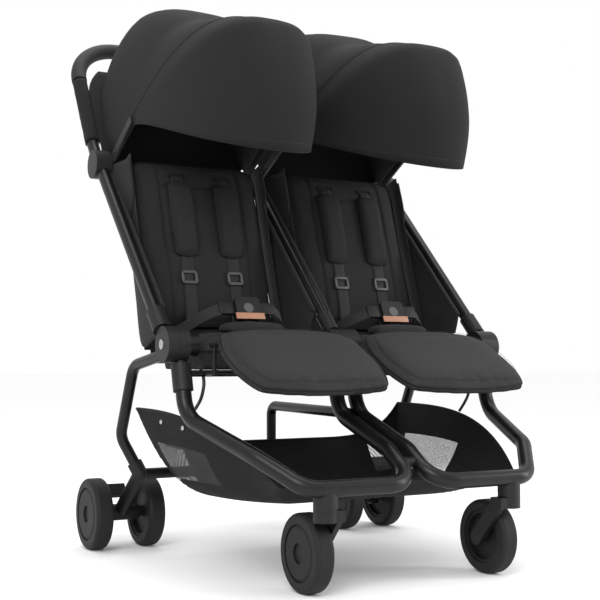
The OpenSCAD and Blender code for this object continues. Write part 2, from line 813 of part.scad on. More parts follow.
// Cable that joins the two brakes, up the brackets and along the back of the cross tube
module brake_cable() seated() color([0.05, 0.05, 0.05]) {
  x_side = pair_x - bracket_d / 2 - cable_d / 2 - clear;
  low = axle_pt + housing_d * unit(bracket_pt - axle_pt);
  back = [x_side, rear_tube_d / 2 + cable_d / 2 + clear - bracket_fwd, bracket_h];
  path = [[x_side, low.y, low.z], back, [-back.x, back.y, back.z], [-x_side, low.y, low.z]];
  bend = 3 * cable_d;
  bent_tube(path, [bend, bend], cable_d);
}

// One bent tube that forms both posts and the handlebar
module handle_frame() seated() color([0.09, 0.09, 0.1]) {
  bent_tube(handle_path, handle_bends, upper_tube_d);
}

// Post between the two seats
module centre_post() seated() color([0.09, 0.09, 0.1]) {
  bent_tube([hinge + tube_start * rise, bend_pt, post_end], [post_bend_r], centre_tube_d);
}

// Foam grips on the handlebar and around its corners
module handle_grips() seated() color([0.06, 0.06, 0.06]) {
  reach = latch_len / 2 + clear;
  low = bar_pt + tube_x * [1, 0, 0] - (handle_corner_r + socket_wall) * grip_rise;
  path = [low, bar_pt + tube_x * [1, 0, 0], bar_pt + reach * [1, 0, 0]];
  bore = [
    low - overrun * grip_rise,
    bar_pt + tube_x * [1, 0, 0],
    bar_pt + (reach - overrun) * [1, 0, 0]
  ];
  for (side = [0, 1]) mirror([side, 0, 0]) difference() {
    bent_tube(path, [handle_corner_r], grip_d);
    bent_tube(bore, [handle_corner_r], upper_tube_d + 2 * grip_lift);
  }
}

// Housing of the fold latch in the middle of the handlebar, with a socket for the centre post
module latch_housing() seated() color([0.12, 0.12, 0.13]) {
  pocket = upper_tube_d / 2 + cap_wall;
  difference() {
    union() {
      across(-latch_len / 2, latch_len / 2, bar_pt, latch_d);
      rod(bar_pt, bar_pt - (latch_d / 2 + cup_depth) * grip_rise, centre_tube_d + 2 * socket_wall);
    }
    across(-latch_len, latch_len, bar_pt, upper_tube_d + 2 * fit);
    rod(post_end, bar_pt - (latch_d / 2 + cup_depth + overrun) * grip_rise, centre_tube_d + 2 * fit);
    rod(bar_pt + pocket * grip_rise, bar_pt + latch_d * grip_rise, button_d + 2 * fit);
  }
}

// Push button that releases the fold
module fold_button() seated() color([0.5, 0.5, 0.52]) {
  low = upper_tube_d / 2 + cap_wall + button_travel + clear;
  top = latch_d / 2 + button_travel + clear;
  rod(bar_pt + low * grip_rise, bar_pt + top * grip_rise, button_d);
}

// Collars on the posts that carry the hood pivots
module hood_collars() seated() color([0.12, 0.12, 0.13]) {
  for (side = [0, 1]) mirror([side, 0, 0]) difference() {
    union() {
      collar(tube_x, collar_d);
      across(tube_x - collar_d / 2, tube_x + collar_d / 2, hood_pt, collar_disc_d);
      across(hood_side + clear, tube_x, hood_pt, hood_pivot_d);
    }
    collar_bore(tube_x, upper_tube_d);
  }
  difference() {
    union() {
      collar(0, centre_tube_d + 2 * socket_wall);
      across(clear - hood_in, hood_in - clear, hood_pt, hood_pivot_d);
    }
    collar_bore(0, centre_tube_d);
  }
}
// Sleeve of a collar around the post at x
module collar(x, d) {
  o = hood_pt + x * [1, 0, 0];
  rod(o - collar_len / 2 * rise, o + collar_len / 2 * rise, d);
}
// Bore of a collar for the post at x
module collar_bore(x, d) {
  o = hood_pt + x * [1, 0, 0];
  rod(o - collar_len * rise, o + collar_len * rise, d + 2 * fit);
}

// Reach of the hood's crown from its pivots at an angle
function hood_reach(a) = lookup(a, [
  [hood_rear_angle, hood_rear_r],
  [(hood_rear_angle + hood_bow_angle) / 2, (hood_rear_r + 2 * hood_bow_r) / 3],
  [hood_bow_angle, hood_bow_r],
  [hood_dip_angle, hood_dip_r],
  [hood_seam_angle, hood_seam_r],
  [hood_front_angle, hood_front_r],
  [(hood_front_angle + hood_hem_angle) / 2, hood_front_r + hood_t],
  [hood_hem_angle, hood_hem_r]
]);
// How square the hood's arch is at an angle
function hood_power(a) = lookup(a, [
  [hood_rear_angle, hood_rear_power],
  [hood_seam_angle, hood_seam_power],
  [hood_hem_angle, hood_hem_power]
]);
// Point of the hood's arch at an angle, with the arch parameter between 0 and 1
function hood_spot(a, s, cut, open_r) =
  let (
    p = hood_power(a),
    reach = hood_reach(a) - cut,
    start = asin(pow((open_r - cut) / reach, p / 2)),
    t = start + (180 - 2 * start) * s,
    x = hood_x - (hood_w - cut) * spow(cos(t), 2 / p),
    r = reach * pow(sin(t), 2 / p)
  ) hood_pt + [x, r * cos(a), r * sin(a)];
// Angle of the visor's lower edge at the arch parameter, straight as seen from the side
function hem_angle(s) =
  let (
    start = asin(pow(hood_corner_r / hood_hem_r, hood_hem_power / 2)),
    r = hood_hem_r * pow(sin(start + (180 - 2 * start) * s), 2 / hood_hem_power),
    share = (r - hood_corner_r) / (hood_hem_r - hood_corner_r),
    corner = hood_seam_angle + hood_corner_angle,
    a = hood_corner_r * [cos(corner), sin(corner)],
    b = hood_hem_r * [cos(hood_hem_angle), sin(hood_hem_angle)],
    p = a + share * (b - a)
  ) 180 - atan2(p[1], -p[0]);

// Point of the strip tucked under the visor, for point p of the seam
function hood_tuck(p) =
  let (
    a = hood_seam_angle + hood_overlap_angle,
    r = hood_tuck_share * norm(p - hood_pt - p.x * [1, 0, 0])
  ) hood_pt + [p.x, r * cos(a), r * sin(a)];

// Rear panel of a hood, fixed to the frame, with its cuff around the outer post
module hood_rear() {
  n = 20;
  angles = [
    hood_seam_angle,
    (hood_seam_angle + hood_dip_angle) / 2,
    hood_dip_angle,
    (hood_dip_angle + hood_bow_angle) / 2,
    hood_bow_angle,
    (2 * hood_bow_angle + hood_rear_angle) / 3,
    (hood_bow_angle + 2 * hood_rear_angle) / 3,
    hood_rear_angle
  ];
  m = len(angles);
  function panel(cut) = concat(
    [for (i = [0:n]) hood_tuck(hood_spot(hood_seam_angle, i / n, cut, hood_open_r))],
    [for (a = angles) for (i = [0:n]) hood_spot(a, i / n, cut, hood_open_r)]
  );
  inset = hood_t + hood_nest;
  slab(panel(inset), panel(inset + hood_t), n, m);
  dir = [0, cos(hood_rear_angle), sin(hood_rear_angle)];
  rear = [for (i = [0:n]) hood_spot(hood_rear_angle, i / n, inset + hood_t / 2, hood_open_r)];
  framed(hood_pt, [1, 0, 0], dir, cross([1, 0, 0], dir)) linear_extrude(hood_t) {
    polygon([for (p = rear) [p[0], norm(p - hood_pt - p[0] * [1, 0, 0])]]);
    translate([hood_x, wing_low]) square([tube_x - wing_gap - hood_x, wing_top - wing_low]);
  }
  o = bend_pt + tube_x * [1, 0, 0];
  low = o + cuff_low * grip_rise;
  top = o + cuff_top * grip_rise;
  difference() {
    rod(low, top, upper_tube_d + 2 * cuff_t);
    rod(low - overrun * grip_rise, top + overrun * grip_rise, upper_tube_d + 2 * grip_lift);
  }
}
module hood_rear_right() seated() color([0.21, 0.21, 0.22]) hood_rear();
module hood_rear_left() seated() left() color([0.21, 0.21, 0.22]) hood_rear();

// Visor of a hood, which turns back over the rear panel
module hood_visor() {
  n = 20;
  m = 6;
  function panel(cut) = [
    for (j = [0:m]) for (i = [0:n])
      let (low = hem_angle(i / n)) hood_spot(low + (hood_seam_angle - low) * j / m, i / n, cut, hood_corner_r)
  ];
  slab(panel(0), panel(hood_t), n, m);
}
module hood_visor_right() seated() color([0.21, 0.21, 0.22]) hood_visor();
module hood_visor_left() seated() left() color([0.21, 0.21, 0.22]) hood_visor();

// Flat arms outside a hood that carry the visor on the hood pivots, each riveted to it
module hood_arms() {
  angle = hood_seam_angle + hood_corner_angle;
  dir = [0, cos(angle), sin(angle)];
  rivet = hood_pt + (hood_arm_len - hood_arm_w / 2) * dir;
  edge = hood_visor_x(hood_arm_len - hood_arm_w / 2) + clear;
  out = hood_side + clear;
  in = hood_in - clear - hood_arm_t;
  for (x = [out, in]) {
    o = hood_pt + x * [1, 0, 0];
    framed(o, dir, cross([1, 0, 0], dir), [1, 0, 0]) linear_extrude(hood_arm_t) difference() {
      union() {
        circle(d = 2 * hood_arm_w);
        translate([0, -hood_arm_w / 2]) square([hood_arm_len, hood_arm_w]);
      }
      circle(d = hood_pivot_d + 2 * fit);
    }
  }
  across(hood_x + edge, out + hood_arm_t / 2, rivet, hood_rivet_d);
  across(in + hood_arm_t / 2, hood_x - edge, rivet, hood_rivet_d);
}
// Half width of the visor at a reach along the arms
function hood_visor_x(r) =
  let (
    a = hood_seam_angle + hood_corner_angle,
    p = hood_power(a),
    low = pow((r - hood_rivet_d / 2) / hood_reach(a), p)
  ) hood_w * pow(1 - low, 1 / p);
module hood_arms_right() seated() color([0.1, 0.1, 0.1]) hood_arms();
module hood_arms_left() seated() left() color([0.1, 0.1, 0.1]) hood_arms();

// Seat cushion
module seat_cushion() {
  channel_shares = [-0.62, 0.35];
  translate([seat_x, -(seat_rear_fwd + seat_len / 2), seat_base_h]) {
    cushion(
      seat_w, seat_len, seat_t, seat_rim_t, seat_round_share, seat_pull_share, channel_shares, groove, 14, 16
    );
  }
}
module seat_cushion_right() seated() color([0.1, 0.1, 0.1]) seat_cushion();
module seat_cushion_left() seated() left() color([0.1, 0.1, 0.1]) seat_cushion();

// Places children on a backrest: x across, y up along it, z out of its front
module on_back(x, up) {
  y = [0, sin(back_lean), cos(back_lean)];
  framed(roll_pt + x * [1, 0, 0] + up * y, [1, 0, 0], y, cross([1, 0, 0], y)) children();
}

// Backrest cushion on the sewn roll that it turns on
module backrest() {
  channel_shares = [-0.55, -0.1, 0.35];
  on_back(back_x, back_lift + back_len / 2) {
    cushion(
      back_w, back_len, back_t, rim_t, back_round_share, seat_pull_share, channel_shares, groove, 14, 20
    );
  }
  on_back(back_x, 0) {
    translate([-seat_w / 2, -roll_d / 4, -roll_d / 2]) cube([seat_w, back_lift + rim_t, roll_d / 2 - clear]);
  }
  across(back_x - seat_w / 2, back_x + seat_w / 2, roll_pt, roll_d);
}
module backrest_right() seated() color([0.1, 0.1, 0.1]) backrest();
module backrest_left() seated() left() color([0.1, 0.1, 0.1]) backrest();

// Shoulder pads with their webbing, lying on a backrest
module harness() {
  pad_up = back_lift + back_len - pad_drop - pad_len / 2;
  lift = back_t + clear;
  for (side = [-1, 1]) {
    on_back(back_x + side * pad_pitch / 2, pad_up) translate([0, 0, lift]) {
      cushion(pad_w, pad_len, pad_t, pad_rim_t, pad_round_share, pad_pull_share, [0], pad_groove, 6, 10);
    }
    on_back(back_x + side * pad_pitch / 2, pad_up - pad_len / 2) translate([-web_w / 2, -pad_len / 2, lift]) {
      cube([web_w, pad_len / 2 + rim_t, web_t]);
    }
  }
}
module harness_right() seated() color([0.08, 0.08, 0.08]) harness();
module harness_left() seated() left() color([0.08, 0.08, 0.08]) harness();

// Places children at the buckle: x across, y up along the crotch strap, z to the front
module at_buckle(up) {
  y = [0, sin(buckle_lean), cos(buckle_lean)];
  o = [seat_x, -buckle_fwd, seat_base_h + seat_t + buckle_lift];
  framed(o + up * y, [1, 0, 0], y, cross([1, 0, 0], y)) children();
}

// Webbing that stands up from the seat cushion to the buckle
module crotch_strap() {
  at_buckle(0) translate([-web_w / 2, -buckle_lift - strap_drop, -web_t / 2]) {
    cube([web_w, buckle_lift + strap_drop - clear, web_t]);
  }
}
module crotch_strap_right() seated() color([0.08, 0.08, 0.08]) crotch_strap();
module crotch_strap_left() seated() left() color([0.08, 0.08, 0.08]) crotch_strap();

// Buckle of the harness, with a pocket for its button
module buckle() {
  at_buckle(buckle_l / 2) difference() {
    translate([0, 0, -buckle_t / 2]) linear_extrude(buckle_t) intersection() {
      square([buckle_w, buckle_l], center = true);
      circle(d = buckle_w + buckle_w / 5);
    }
    translate([0, 0, buckle_t / 2 - release_travel - 2 * cap_wall]) {
      cylinder(h = buckle_t, d = release_d + 2 * fit);
    }
  }
}
module buckle_right() seated() color([0.1, 0.1, 0.11]) buckle();
module buckle_left() seated() left() color([0.1, 0.1, 0.11]) buckle();

// Push button of a buckle
module buckle_button() {
  at_buckle(buckle_l / 2) translate([0, 0, buckle_t / 2 - 2 * cap_wall + clear]) {
    cylinder(h = 2 * cap_wall, d = release_d);
  }
}
module buckle_button_right() seated() color([0.3, 0.3, 0.32]) buckle_button();
module buckle_button_left() seated() left() color([0.3, 0.3, 0.32]) buckle_button();

// Flat cloth triangle between three points
module triangle(a, b, c) {
  x = unit(b - a);
  up = (c - a) * x;
  y = unit(c - a - up * x);
  framed(a, x, y, cross(x, y)) translate([0, 0, -panel_t / 2]) linear_extrude(panel_t) {
    polygon([[0, 0], [norm(b - a), 0], [up, (c - a) * y]]);
  }
}
// Cloth panel from a post's inner face at x to the foot and head of the backrest, sewn along the post
module side_panel(x, lean_x, foot_x) {
  edge = x + lean_x * hem_d / 2;
  a = hinge + panel_start * rise + edge * [1, 0, 0];
  b = hinge + panel_mid * rise + edge * [1, 0, 0];
  c = hinge + panel_end * rise + edge * [1, 0, 0];
  head_up = back_lift + back_len - 2 * hem_d;
  head = [foot_x, roll_pt.y + head_up * sin(back_lean) - back_t, roll_h + head_up * cos(back_lean)];
  rod(a, c, hem_d);
  triangle(a, b, [foot_x, roll_pt.y + roll_d, roll_h + 3 * roll_d]);
  triangle(b, c, head);
}
module seat_sides() {
  side_panel(tube_x - upper_tube_d / 2 - clear, -1, back_x + back_w / 2 + panel_t);
  side_panel(centre_tube_d / 2 + clear, 1, back_x - back_w / 2 - panel_t);
}
module seat_sides_right() seated() color([0.16, 0.16, 0.17]) seat_sides();
module seat_sides_left() seated() left() color([0.16, 0.16, 0.17]) seat_sides();

// Calf rest: cushion on a board that turns on the rod in front of the seat
module calf_rest() {
  sleeve_d = rod_d + 2 * sleeve_wall;
  out = seat_out - seat_gap - 3 * rod_d;
  in = seat_in + 3 * rod_d;
  y = [0, -cos(calf_slope), -sin(calf_slope)];
  z = cross([-1, 0, 0], y);
  difference() {
    union() {
      across(in, out, calf_pt, sleeve_d);
      framed(calf_pt + calf_x * [1, 0, 0], [-1, 0, 0], y, z) {
        translate([-calf_w / 4, 0, sleeve_d / 2 - board_t]) {
          cube([calf_w / 2, calf_len * board_share, board_t]);
        }
      }
    }
    across(in - overrun, out + overrun, calf_pt, rod_d + 2 * fit);
  }
  framed(calf_pt + calf_x * [1, 0, 0], [-1, 0, 0], y, z) {
    translate([0, calf_len / 2 - calf_back, sleeve_d / 2 + clear]) {
      cushion(calf_w, calf_len, calf_t, calf_rim_t, calf_round_share, 0, [], 0, 16, 14);
    }
  }
}
module calf_rest_right() seated() color([0.27, 0.27, 0.28]) calf_rest();
module calf_rest_left() seated() left() color([0.27, 0.27, 0.28]) calf_rest();

// Points of the basket's wall, set in from its outside by cut
function basket_wall(cut, n, m) = [
  for (j = [0:m]) for (i = [0:n])
    let (
      u = sin(90 * (-1 + 2 * i / n)),
      w = sin(90 * (-1 + 2 * j / m)),
      k = pow(max(abs(u), abs(w)), basket_wall_power),
      ahead = (1 - w) / 2,
      half = basket_rear_x + (basket_front_x - basket_rear_x) * pow(ahead, basket_front_power) - cut,
      back_h = basket_back_h + (basket_rim_h - basket_back_h) * pow(abs(u), basket_sag_power),
      rim = back_h + (basket_front_h - back_h) * pow(ahead, basket_front_power),
      bottom = basket_floor_h + basket_rise * pow(ahead, 2) + cut,
      x = half * u * (basket_flare_share + (1 - basket_flare_share) * k),
      y = -(basket_rear_fwd + basket_len / 2)
        + (basket_len / 2 - cut) * w * (basket_end_share + (1 - basket_end_share) * k)
    ) [x, y, bottom + (rim - bottom) * k]
];

// Shared cloth basket: a tub that flares to its rim and drops towards the front
module basket() seated() color([0.2, 0.2, 0.21]) {
  n = 14;
  m = 12;
  slab(basket_wall(basket_t, n, m), basket_wall(0, n, m), n, m);
}

// Stay from the front frames over the back of the basket, with the rod that holds its rear rim
module basket_support() seated() color([0.09, 0.09, 0.1]) {
  root = [0, -knee_fwd, knee_h];
  rim_y = -basket_rear_fwd + rod_d / 2 + clear;
  over_y = rim_y + rod_d / 2 + stay_d / 2 - fit;
  rod_pt = [0, rim_y, basket_back_h - rod_d / 8];
  difference() {
    union() {
      bent_tube(
        [root, [0, over_y, basket_rim_h], [0, over_y, basket_back_h - stay_d / 2]],
        [stay_d],
        stay_d
      );
      across(-basket_front_x, basket_front_x, rod_pt, rod_d);
    }
    inner_arms();
  }
}

front_frame_left();
front_frame_right();
frame_link();
lower_hub_left();
lower_hub_right();
centre_lower_hubs();
hinge_pins();
caster_socket_left();
caster_socket_right();
seat_cushion_left();
seat_cushion_right();
crotch_strap_left();
crotch_strap_right();
buckle_left();
buckle_right();
buckle_button_left();
buckle_button_right();
basket();
basket_support();
rear_leg_left();
rear_leg_right();
rear_cross_tube();
wheel_bracket_left();
wheel_bracket_right();
rear_axles();
brake_cable();
brake_pedal_left();
brake_pedal_right();
rear_wheel_left_outer();
rear_wheel_left_inner();
rear_wheel_right_inner();
rear_wheel_right_outer();
caster_fork_left();
caster_fork_right();
front_wheel_left();
front_wheel_right();
handle_frame();
centre_post();
upper_hub_left();
upper_hub_right();
centre_upper_hub();
hub_screws();
handle_grips();
latch_housing();
fold_button();
hood_collars();
seat_sides_left();
seat_sides_right();
hood_rear_left();
hood_rear_right();
hood_visor_left();
hood_visor_right();
hood_arms_left();
hood_arms_right();
backrest_left();
backrest_right();
harness_left();
harness_right();
calf_rest_left();
calf_rest_right();
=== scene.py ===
# %% [markdown]
# A side by side double stroller, dressed for the camera. The solids come from the CAD model, in
# metres: +X is the right-hand side, -Y the front and +Z up. Tubes, hinges and wheels keep their solids
# and only get a finish. Everything sewn is made again here as cloth, padding or webbing.

# %% Load the frame
import json
from math import asin, atan2, cos, degrees, pi, radians, sin, sqrt

import bmesh
import bpy
from mathutils import Matrix, Vector, noise


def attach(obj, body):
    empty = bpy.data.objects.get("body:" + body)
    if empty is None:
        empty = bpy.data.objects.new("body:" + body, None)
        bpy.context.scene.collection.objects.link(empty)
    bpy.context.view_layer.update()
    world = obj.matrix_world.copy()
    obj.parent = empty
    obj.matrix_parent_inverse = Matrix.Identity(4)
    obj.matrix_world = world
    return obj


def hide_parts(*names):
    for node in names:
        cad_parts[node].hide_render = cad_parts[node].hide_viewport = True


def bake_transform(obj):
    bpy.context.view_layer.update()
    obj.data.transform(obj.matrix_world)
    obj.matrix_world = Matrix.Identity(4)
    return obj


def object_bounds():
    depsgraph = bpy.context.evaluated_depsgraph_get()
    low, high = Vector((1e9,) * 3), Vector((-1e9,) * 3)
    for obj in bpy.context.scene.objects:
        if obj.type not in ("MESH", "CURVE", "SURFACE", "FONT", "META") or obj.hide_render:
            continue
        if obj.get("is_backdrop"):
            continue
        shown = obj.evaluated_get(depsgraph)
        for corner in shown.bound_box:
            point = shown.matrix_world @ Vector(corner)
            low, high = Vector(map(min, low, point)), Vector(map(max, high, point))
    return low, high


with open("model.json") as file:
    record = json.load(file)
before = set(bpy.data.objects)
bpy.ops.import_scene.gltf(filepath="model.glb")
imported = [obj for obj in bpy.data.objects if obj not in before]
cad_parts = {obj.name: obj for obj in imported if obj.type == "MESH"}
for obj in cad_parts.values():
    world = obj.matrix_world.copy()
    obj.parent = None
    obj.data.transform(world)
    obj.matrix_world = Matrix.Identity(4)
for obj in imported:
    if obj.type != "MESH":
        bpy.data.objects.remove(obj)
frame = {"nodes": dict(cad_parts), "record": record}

nodes = frame["nodes"]
scene = bpy.context.scene
cad_box = [list(corner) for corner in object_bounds()]


def add(name, data):
    """Puts a new object into the scene."""
    obj = bpy.data.objects.new(name, data)
    scene.collection.objects.link(obj)
    return obj


def shape(name, points, edges, faces):
    mesh = bpy.data.meshes.new(name)
    mesh.from_pydata([tuple(p) for p in points], edges, faces)
    return mesh


def fill(node, values):
    """Sets inputs of a node by their labels."""
    for label, value in values.items():
        node.inputs[label].default_value = value


# %% [markdown]
# The photograph was taken from the front left, low down, with a fairly long lens. The camera stands
# where the frame's hinges, wheels and handlebar fall on their places in the picture.

# %% Camera
camera_data = bpy.data.cameras.new("camera")
camera_data.lens = 67.31
camera_data.sensor_width = 36
camera = add("camera", camera_data)
YAW, PITCH = radians(29.22), radians(3.14)
aim = Vector((sin(YAW) * cos(PITCH), cos(YAW) * cos(PITCH), sin(PITCH)))
camera.location = (-1.1164, -1.9918, 0.383)
camera.rotation_euler = aim.to_track_quat("-Z", "Y").to_euler()
scene.camera = camera
print("camera looks along", [round(v, 3) for v in aim])

# %% [markdown]
# Black cloth needs a lot of soft light, or its folds vanish. A white world gives an even base, large
# lamps from the front left and from above model the hoods, and a strip from the right draws the tube
# edges. The plain display curve keeps the white room white and the blacks deep.

# %% Light and floor
world = bpy.data.worlds.new("studio")
world.use_nodes = True
fill(world.node_tree.nodes["Background"], {"Color": (1, 1, 1, 1), "Strength": 1.0})
scene.world = world
scene.view_settings.view_transform = "Standard"


def plain_finish(name):
    mat = bpy.data.materials.new(name)
    mat.use_nodes = True
    return mat, mat.node_tree.nodes["Principled BSDF"]


def softbox(name, place, target, size, power):
    lamp = bpy.data.lights.new(name, "AREA")
    lamp.shape = "RECTANGLE"
    lamp.size, lamp.size_y = size
    lamp.energy = power
    obj = add(name, lamp)
    obj.location = place
    obj.rotation_euler = (Vector(target) - Vector(place)).to_track_quat("-Z", "Y").to_euler()


softbox("key", (-2.2, -2.4, 2.4), (0, 0, 0.5), (1.8, 1.8), 70)
softbox("top", (0.2, 0.3, 3.0), (0, 0, 0.5), (2.2, 2.2), 40)
softbox("strip", (2.4, -1.6, 1.2), (0, 0, 0.5), (0.7, 2.0), 36)

corners = [(-30, -30, 0), (30, -30, 0), (30, 30, 0), (-30, 30, 0)]
floor_mesh = shape("floor", corners, [], [(0, 1, 2, 3)])
floor = add("floor", floor_mesh)
floor_finish, floor_shader = plain_finish("floor")
fill(floor_shader, {"Base Color": (0.97, 0.97, 0.97, 1), "Roughness": 0.85})
floor_mesh.materials.append(floor_finish)
floor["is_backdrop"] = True
print("lamps", len(bpy.data.lights))

# %% [markdown]
# Two effects are shared by many finishes, so each is a node group. "weave" crosses three sine waves in
# object space, which reads as threads on any side of a piece. "grain" is the fine pitting of moulded
# plastic, rubber and powder paint. Both also put out a slow mottle for uneven colour.

# %% Shader groups


def link_nodes(tree, *pairs):
    for out, into in pairs:
        tree.links.new(out, into)


def socket(tree, label, way, kind="Float"):
    return tree.interface.new_socket(label, in_out=way, socket_type="NodeSocket" + kind)


def new_group(name, ins):
    tree = bpy.data.node_groups.new(name, "ShaderNodeTree")
    for label, value in ins:
        socket(tree, label, "INPUT").default_value = value
    for label in ("Height", "Tone"):
        socket(tree, label, "OUTPUT")
    return tree, tree.nodes.new("NodeGroupInput"), tree.nodes.new("NodeGroupOutput")


def math_node(tree, kind, a, b=None):
    node = tree.nodes.new("ShaderNodeMath")
    node.operation = kind
    for into, value in zip(node.inputs, (a, b)):
        if isinstance(value, (int, float)):
            into.default_value = value
        elif value is not None:
            tree.links.new(value, into)
    return node.outputs[0]


weave, weave_in, weave_out = new_group("weave", [("Threads", 900.0), ("Mottle", 9.0)])
coords = weave.nodes.new("ShaderNodeTexCoord").outputs["Object"]
split = weave.nodes.new("ShaderNodeSeparateXYZ")
weave.links.new(coords, split.inputs[0])
turns = math_node(weave, "MULTIPLY", weave_in.outputs["Threads"], pi)
waves = [math_node(weave, "SINE", math_node(weave, "MULTIPLY", axis, turns)) for axis in split.outputs]
crossed = [math_node(weave, "MULTIPLY", waves[i], waves[(i + 1) % 3]) for i in range(3)]
threads = math_node(weave, "ADD", math_node(weave, "ADD", crossed[0], crossed[1]), crossed[2])
weave_spots = weave.nodes.new("ShaderNodeTexNoise")
weave_spots.inputs["Detail"].default_value = 4
faint = math_node(weave, "MULTIPLY", threads, 0.12)
link_nodes(
    weave,
    (coords, weave_spots.inputs["Vector"]),
    (weave_in.outputs["Mottle"], weave_spots.inputs["Scale"]),
    (threads, weave_out.inputs["Height"]),
    (math_node(weave, "ADD", faint, weave_spots.outputs["Fac"]), weave_out.inputs["Tone"]),
)

grain, grain_in, grain_out = new_group("grain", [("Pits", 1400.0), ("Mottle", 14.0)])
grain_coords = grain.nodes.new("ShaderNodeTexCoord").outputs["Object"]
for label, target in (("Pits", "Height"), ("Mottle", "Tone")):
    spots = grain.nodes.new("ShaderNodeTexNoise")
    spots.inputs["Detail"].default_value = 3
    link_nodes(
        grain,
        (grain_coords, spots.inputs["Vector"]),
        (grain_in.outputs[label], spots.inputs["Scale"]),
        (spots.outputs["Fac"], grain_out.inputs[target]),
    )
print("groups", [g.name for g in (weave, grain)])

# %% [markdown]
# One maker turns a group into a finish: its tone mixes two close colours and shifts the roughness a
# little, and its height feeds a bump. Cloth gets sheen, which is what separates it from plastic.

# %% Finish maker


def finish(name, group, dark, light, rough, depth, sheen=0.0, coat=0.0, metal=0.0, gloss=0.5, **sizes):
    mat, shader = plain_finish(name)
    tree = mat.node_tree
    effect = tree.nodes.new("ShaderNodeGroup")
    effect.node_tree = group
    fill(effect, sizes)
    blend = tree.nodes.new("ShaderNodeMix")
    blend.data_type = "RGBA"
    fill(blend, {"A": (*dark, 1), "B": (*light, 1)})
    shine = tree.nodes.new("ShaderNodeMapRange")
    fill(shine, {"To Min": rough[0], "To Max": rough[1]})
    bump = tree.nodes.new("ShaderNodeBump")
    fill(bump, {"Strength": 0.6, "Distance": depth})
    link_nodes(
        tree,
        (effect.outputs["Tone"], blend.inputs["Factor"]),
        (blend.outputs["Result"], shader.inputs["Base Color"]),
        (effect.outputs["Tone"], shine.inputs["Value"]),
        (shine.outputs["Result"], shader.inputs["Roughness"]),
        (effect.outputs["Height"], bump.inputs["Height"]),
        (bump.outputs["Normal"], shader.inputs["Normal"]),
    )
    fill(shader, {"Sheen Weight": sheen, "Sheen Roughness": 0.5, "Coat Weight": coat})
    fill(shader, {"Metallic": metal, "Specular IOR Level": gloss})
    return mat


def grey(v, warm=0.0):
    return (v * (1 + warm), v, v * (1 - warm) + 0.03 * v)


# name, dark, light, roughness, depth, sheen, gloss, threads, mottle
WOVEN = (
    ("hood cloth", 0.0085, 0.0145, (0.75, 0.92), 0.0003, 0.02, 0.15, 1100, 7),
    ("seat cloth", 0.0095, 0.0175, (0.7, 0.9), 0.0003, 0.03, 0.25, 950, 10),
    ("side cloth", 0.0085, 0.016, (0.7, 0.9), 0.0003, 0.03, 0.25, 950, 10),
    ("calf rest cloth", 0.0145, 0.0235, (0.65, 0.88), 0.0003, 0.03, 0.2, 1000, 8),
    ("basket cloth", 0.003, 0.0065, (0.65, 0.88), 0.0003, 0.02, 0.15, 900, 9),
    ("webbing", 0.004, 0.009, (0.5, 0.75), 0.0005, 0.06, 0.4, 520, 20),
    ("binding tape", 0.003, 0.006, (0.6, 0.85), 0.0003, 0.02, 0.2, 700, 15),
)
# name, dark, light, roughness, depth, coat, metal, gloss, pits, mottle
GRAINED = (
    ("thread", grey(0.012), grey(0.022), (0.5, 0.7), 0.0001, 0, 0, 0.4, 2500, 60),
    ("copper leather", (0.27, 0.125, 0.07), (0.4, 0.2, 0.12), (0.35, 0.52), 0.0003, 0, 0, 0.5, 900, 60),
    ("frame paint", grey(0.003), grey(0.006), (0.3, 0.42), 0.00006, 0.05, 0, 0.25, 2600, 10),
    ("moulded plastic", grey(0.006), grey(0.011), (0.38, 0.55), 0.00012, 0, 0, 0.25, 1800, 14),
    ("wheel rubber", grey(0.009, 0.03), grey(0.015, 0.03), (0.5, 0.68), 0.00015, 0, 0, 0.2, 1500, 16),
    ("grip foam", grey(0.005), grey(0.009), (0.55, 0.75), 0.0004, 0, 0, 0.4, 900, 24),
    ("button plastic", grey(0.045), grey(0.07), (0.35, 0.5), 0.0001, 0, 0, 0.5, 1600, 20),
    ("cable sheath", grey(0.004), grey(0.008), (0.4, 0.55), 0.0001, 0, 0, 0.5, 1600, 30),
    ("steel", (0.4, 0.4, 0.41), (0.55, 0.55, 0.56), (0.25, 0.4), 0.00005, 0, 1, 0.5, 2000, 30),
)
hood_cloth, seat_cloth, side_cloth, calf_cloth, basket_cloth, webbing, binding = (
    finish(name, weave, grey(a), grey(b), rough, depth, sheen, gloss=gloss, Threads=count, Mottle=spots)
    for name, a, b, rough, depth, sheen, gloss, count, spots in WOVEN
)
(
    thread, copper_leather, frame_paint, moulding, wheel_rubber,
    grip_foam, button_plastic, cable_sheath, steel,
) = (
    finish(name, grain, a, b, rough, depth, 0, coat, metal, gloss, Pits=count, Mottle=spots)
    for name, a, b, rough, depth, coat, metal, gloss, count, spots in GRAINED
)
print("finishes", len(bpy.data.materials))

# %% [markdown]
# The basket has windows of open net. Modelling every thread would take millions of faces, so the net is
# a plain sheet whose alpha follows a fine grid of threads.

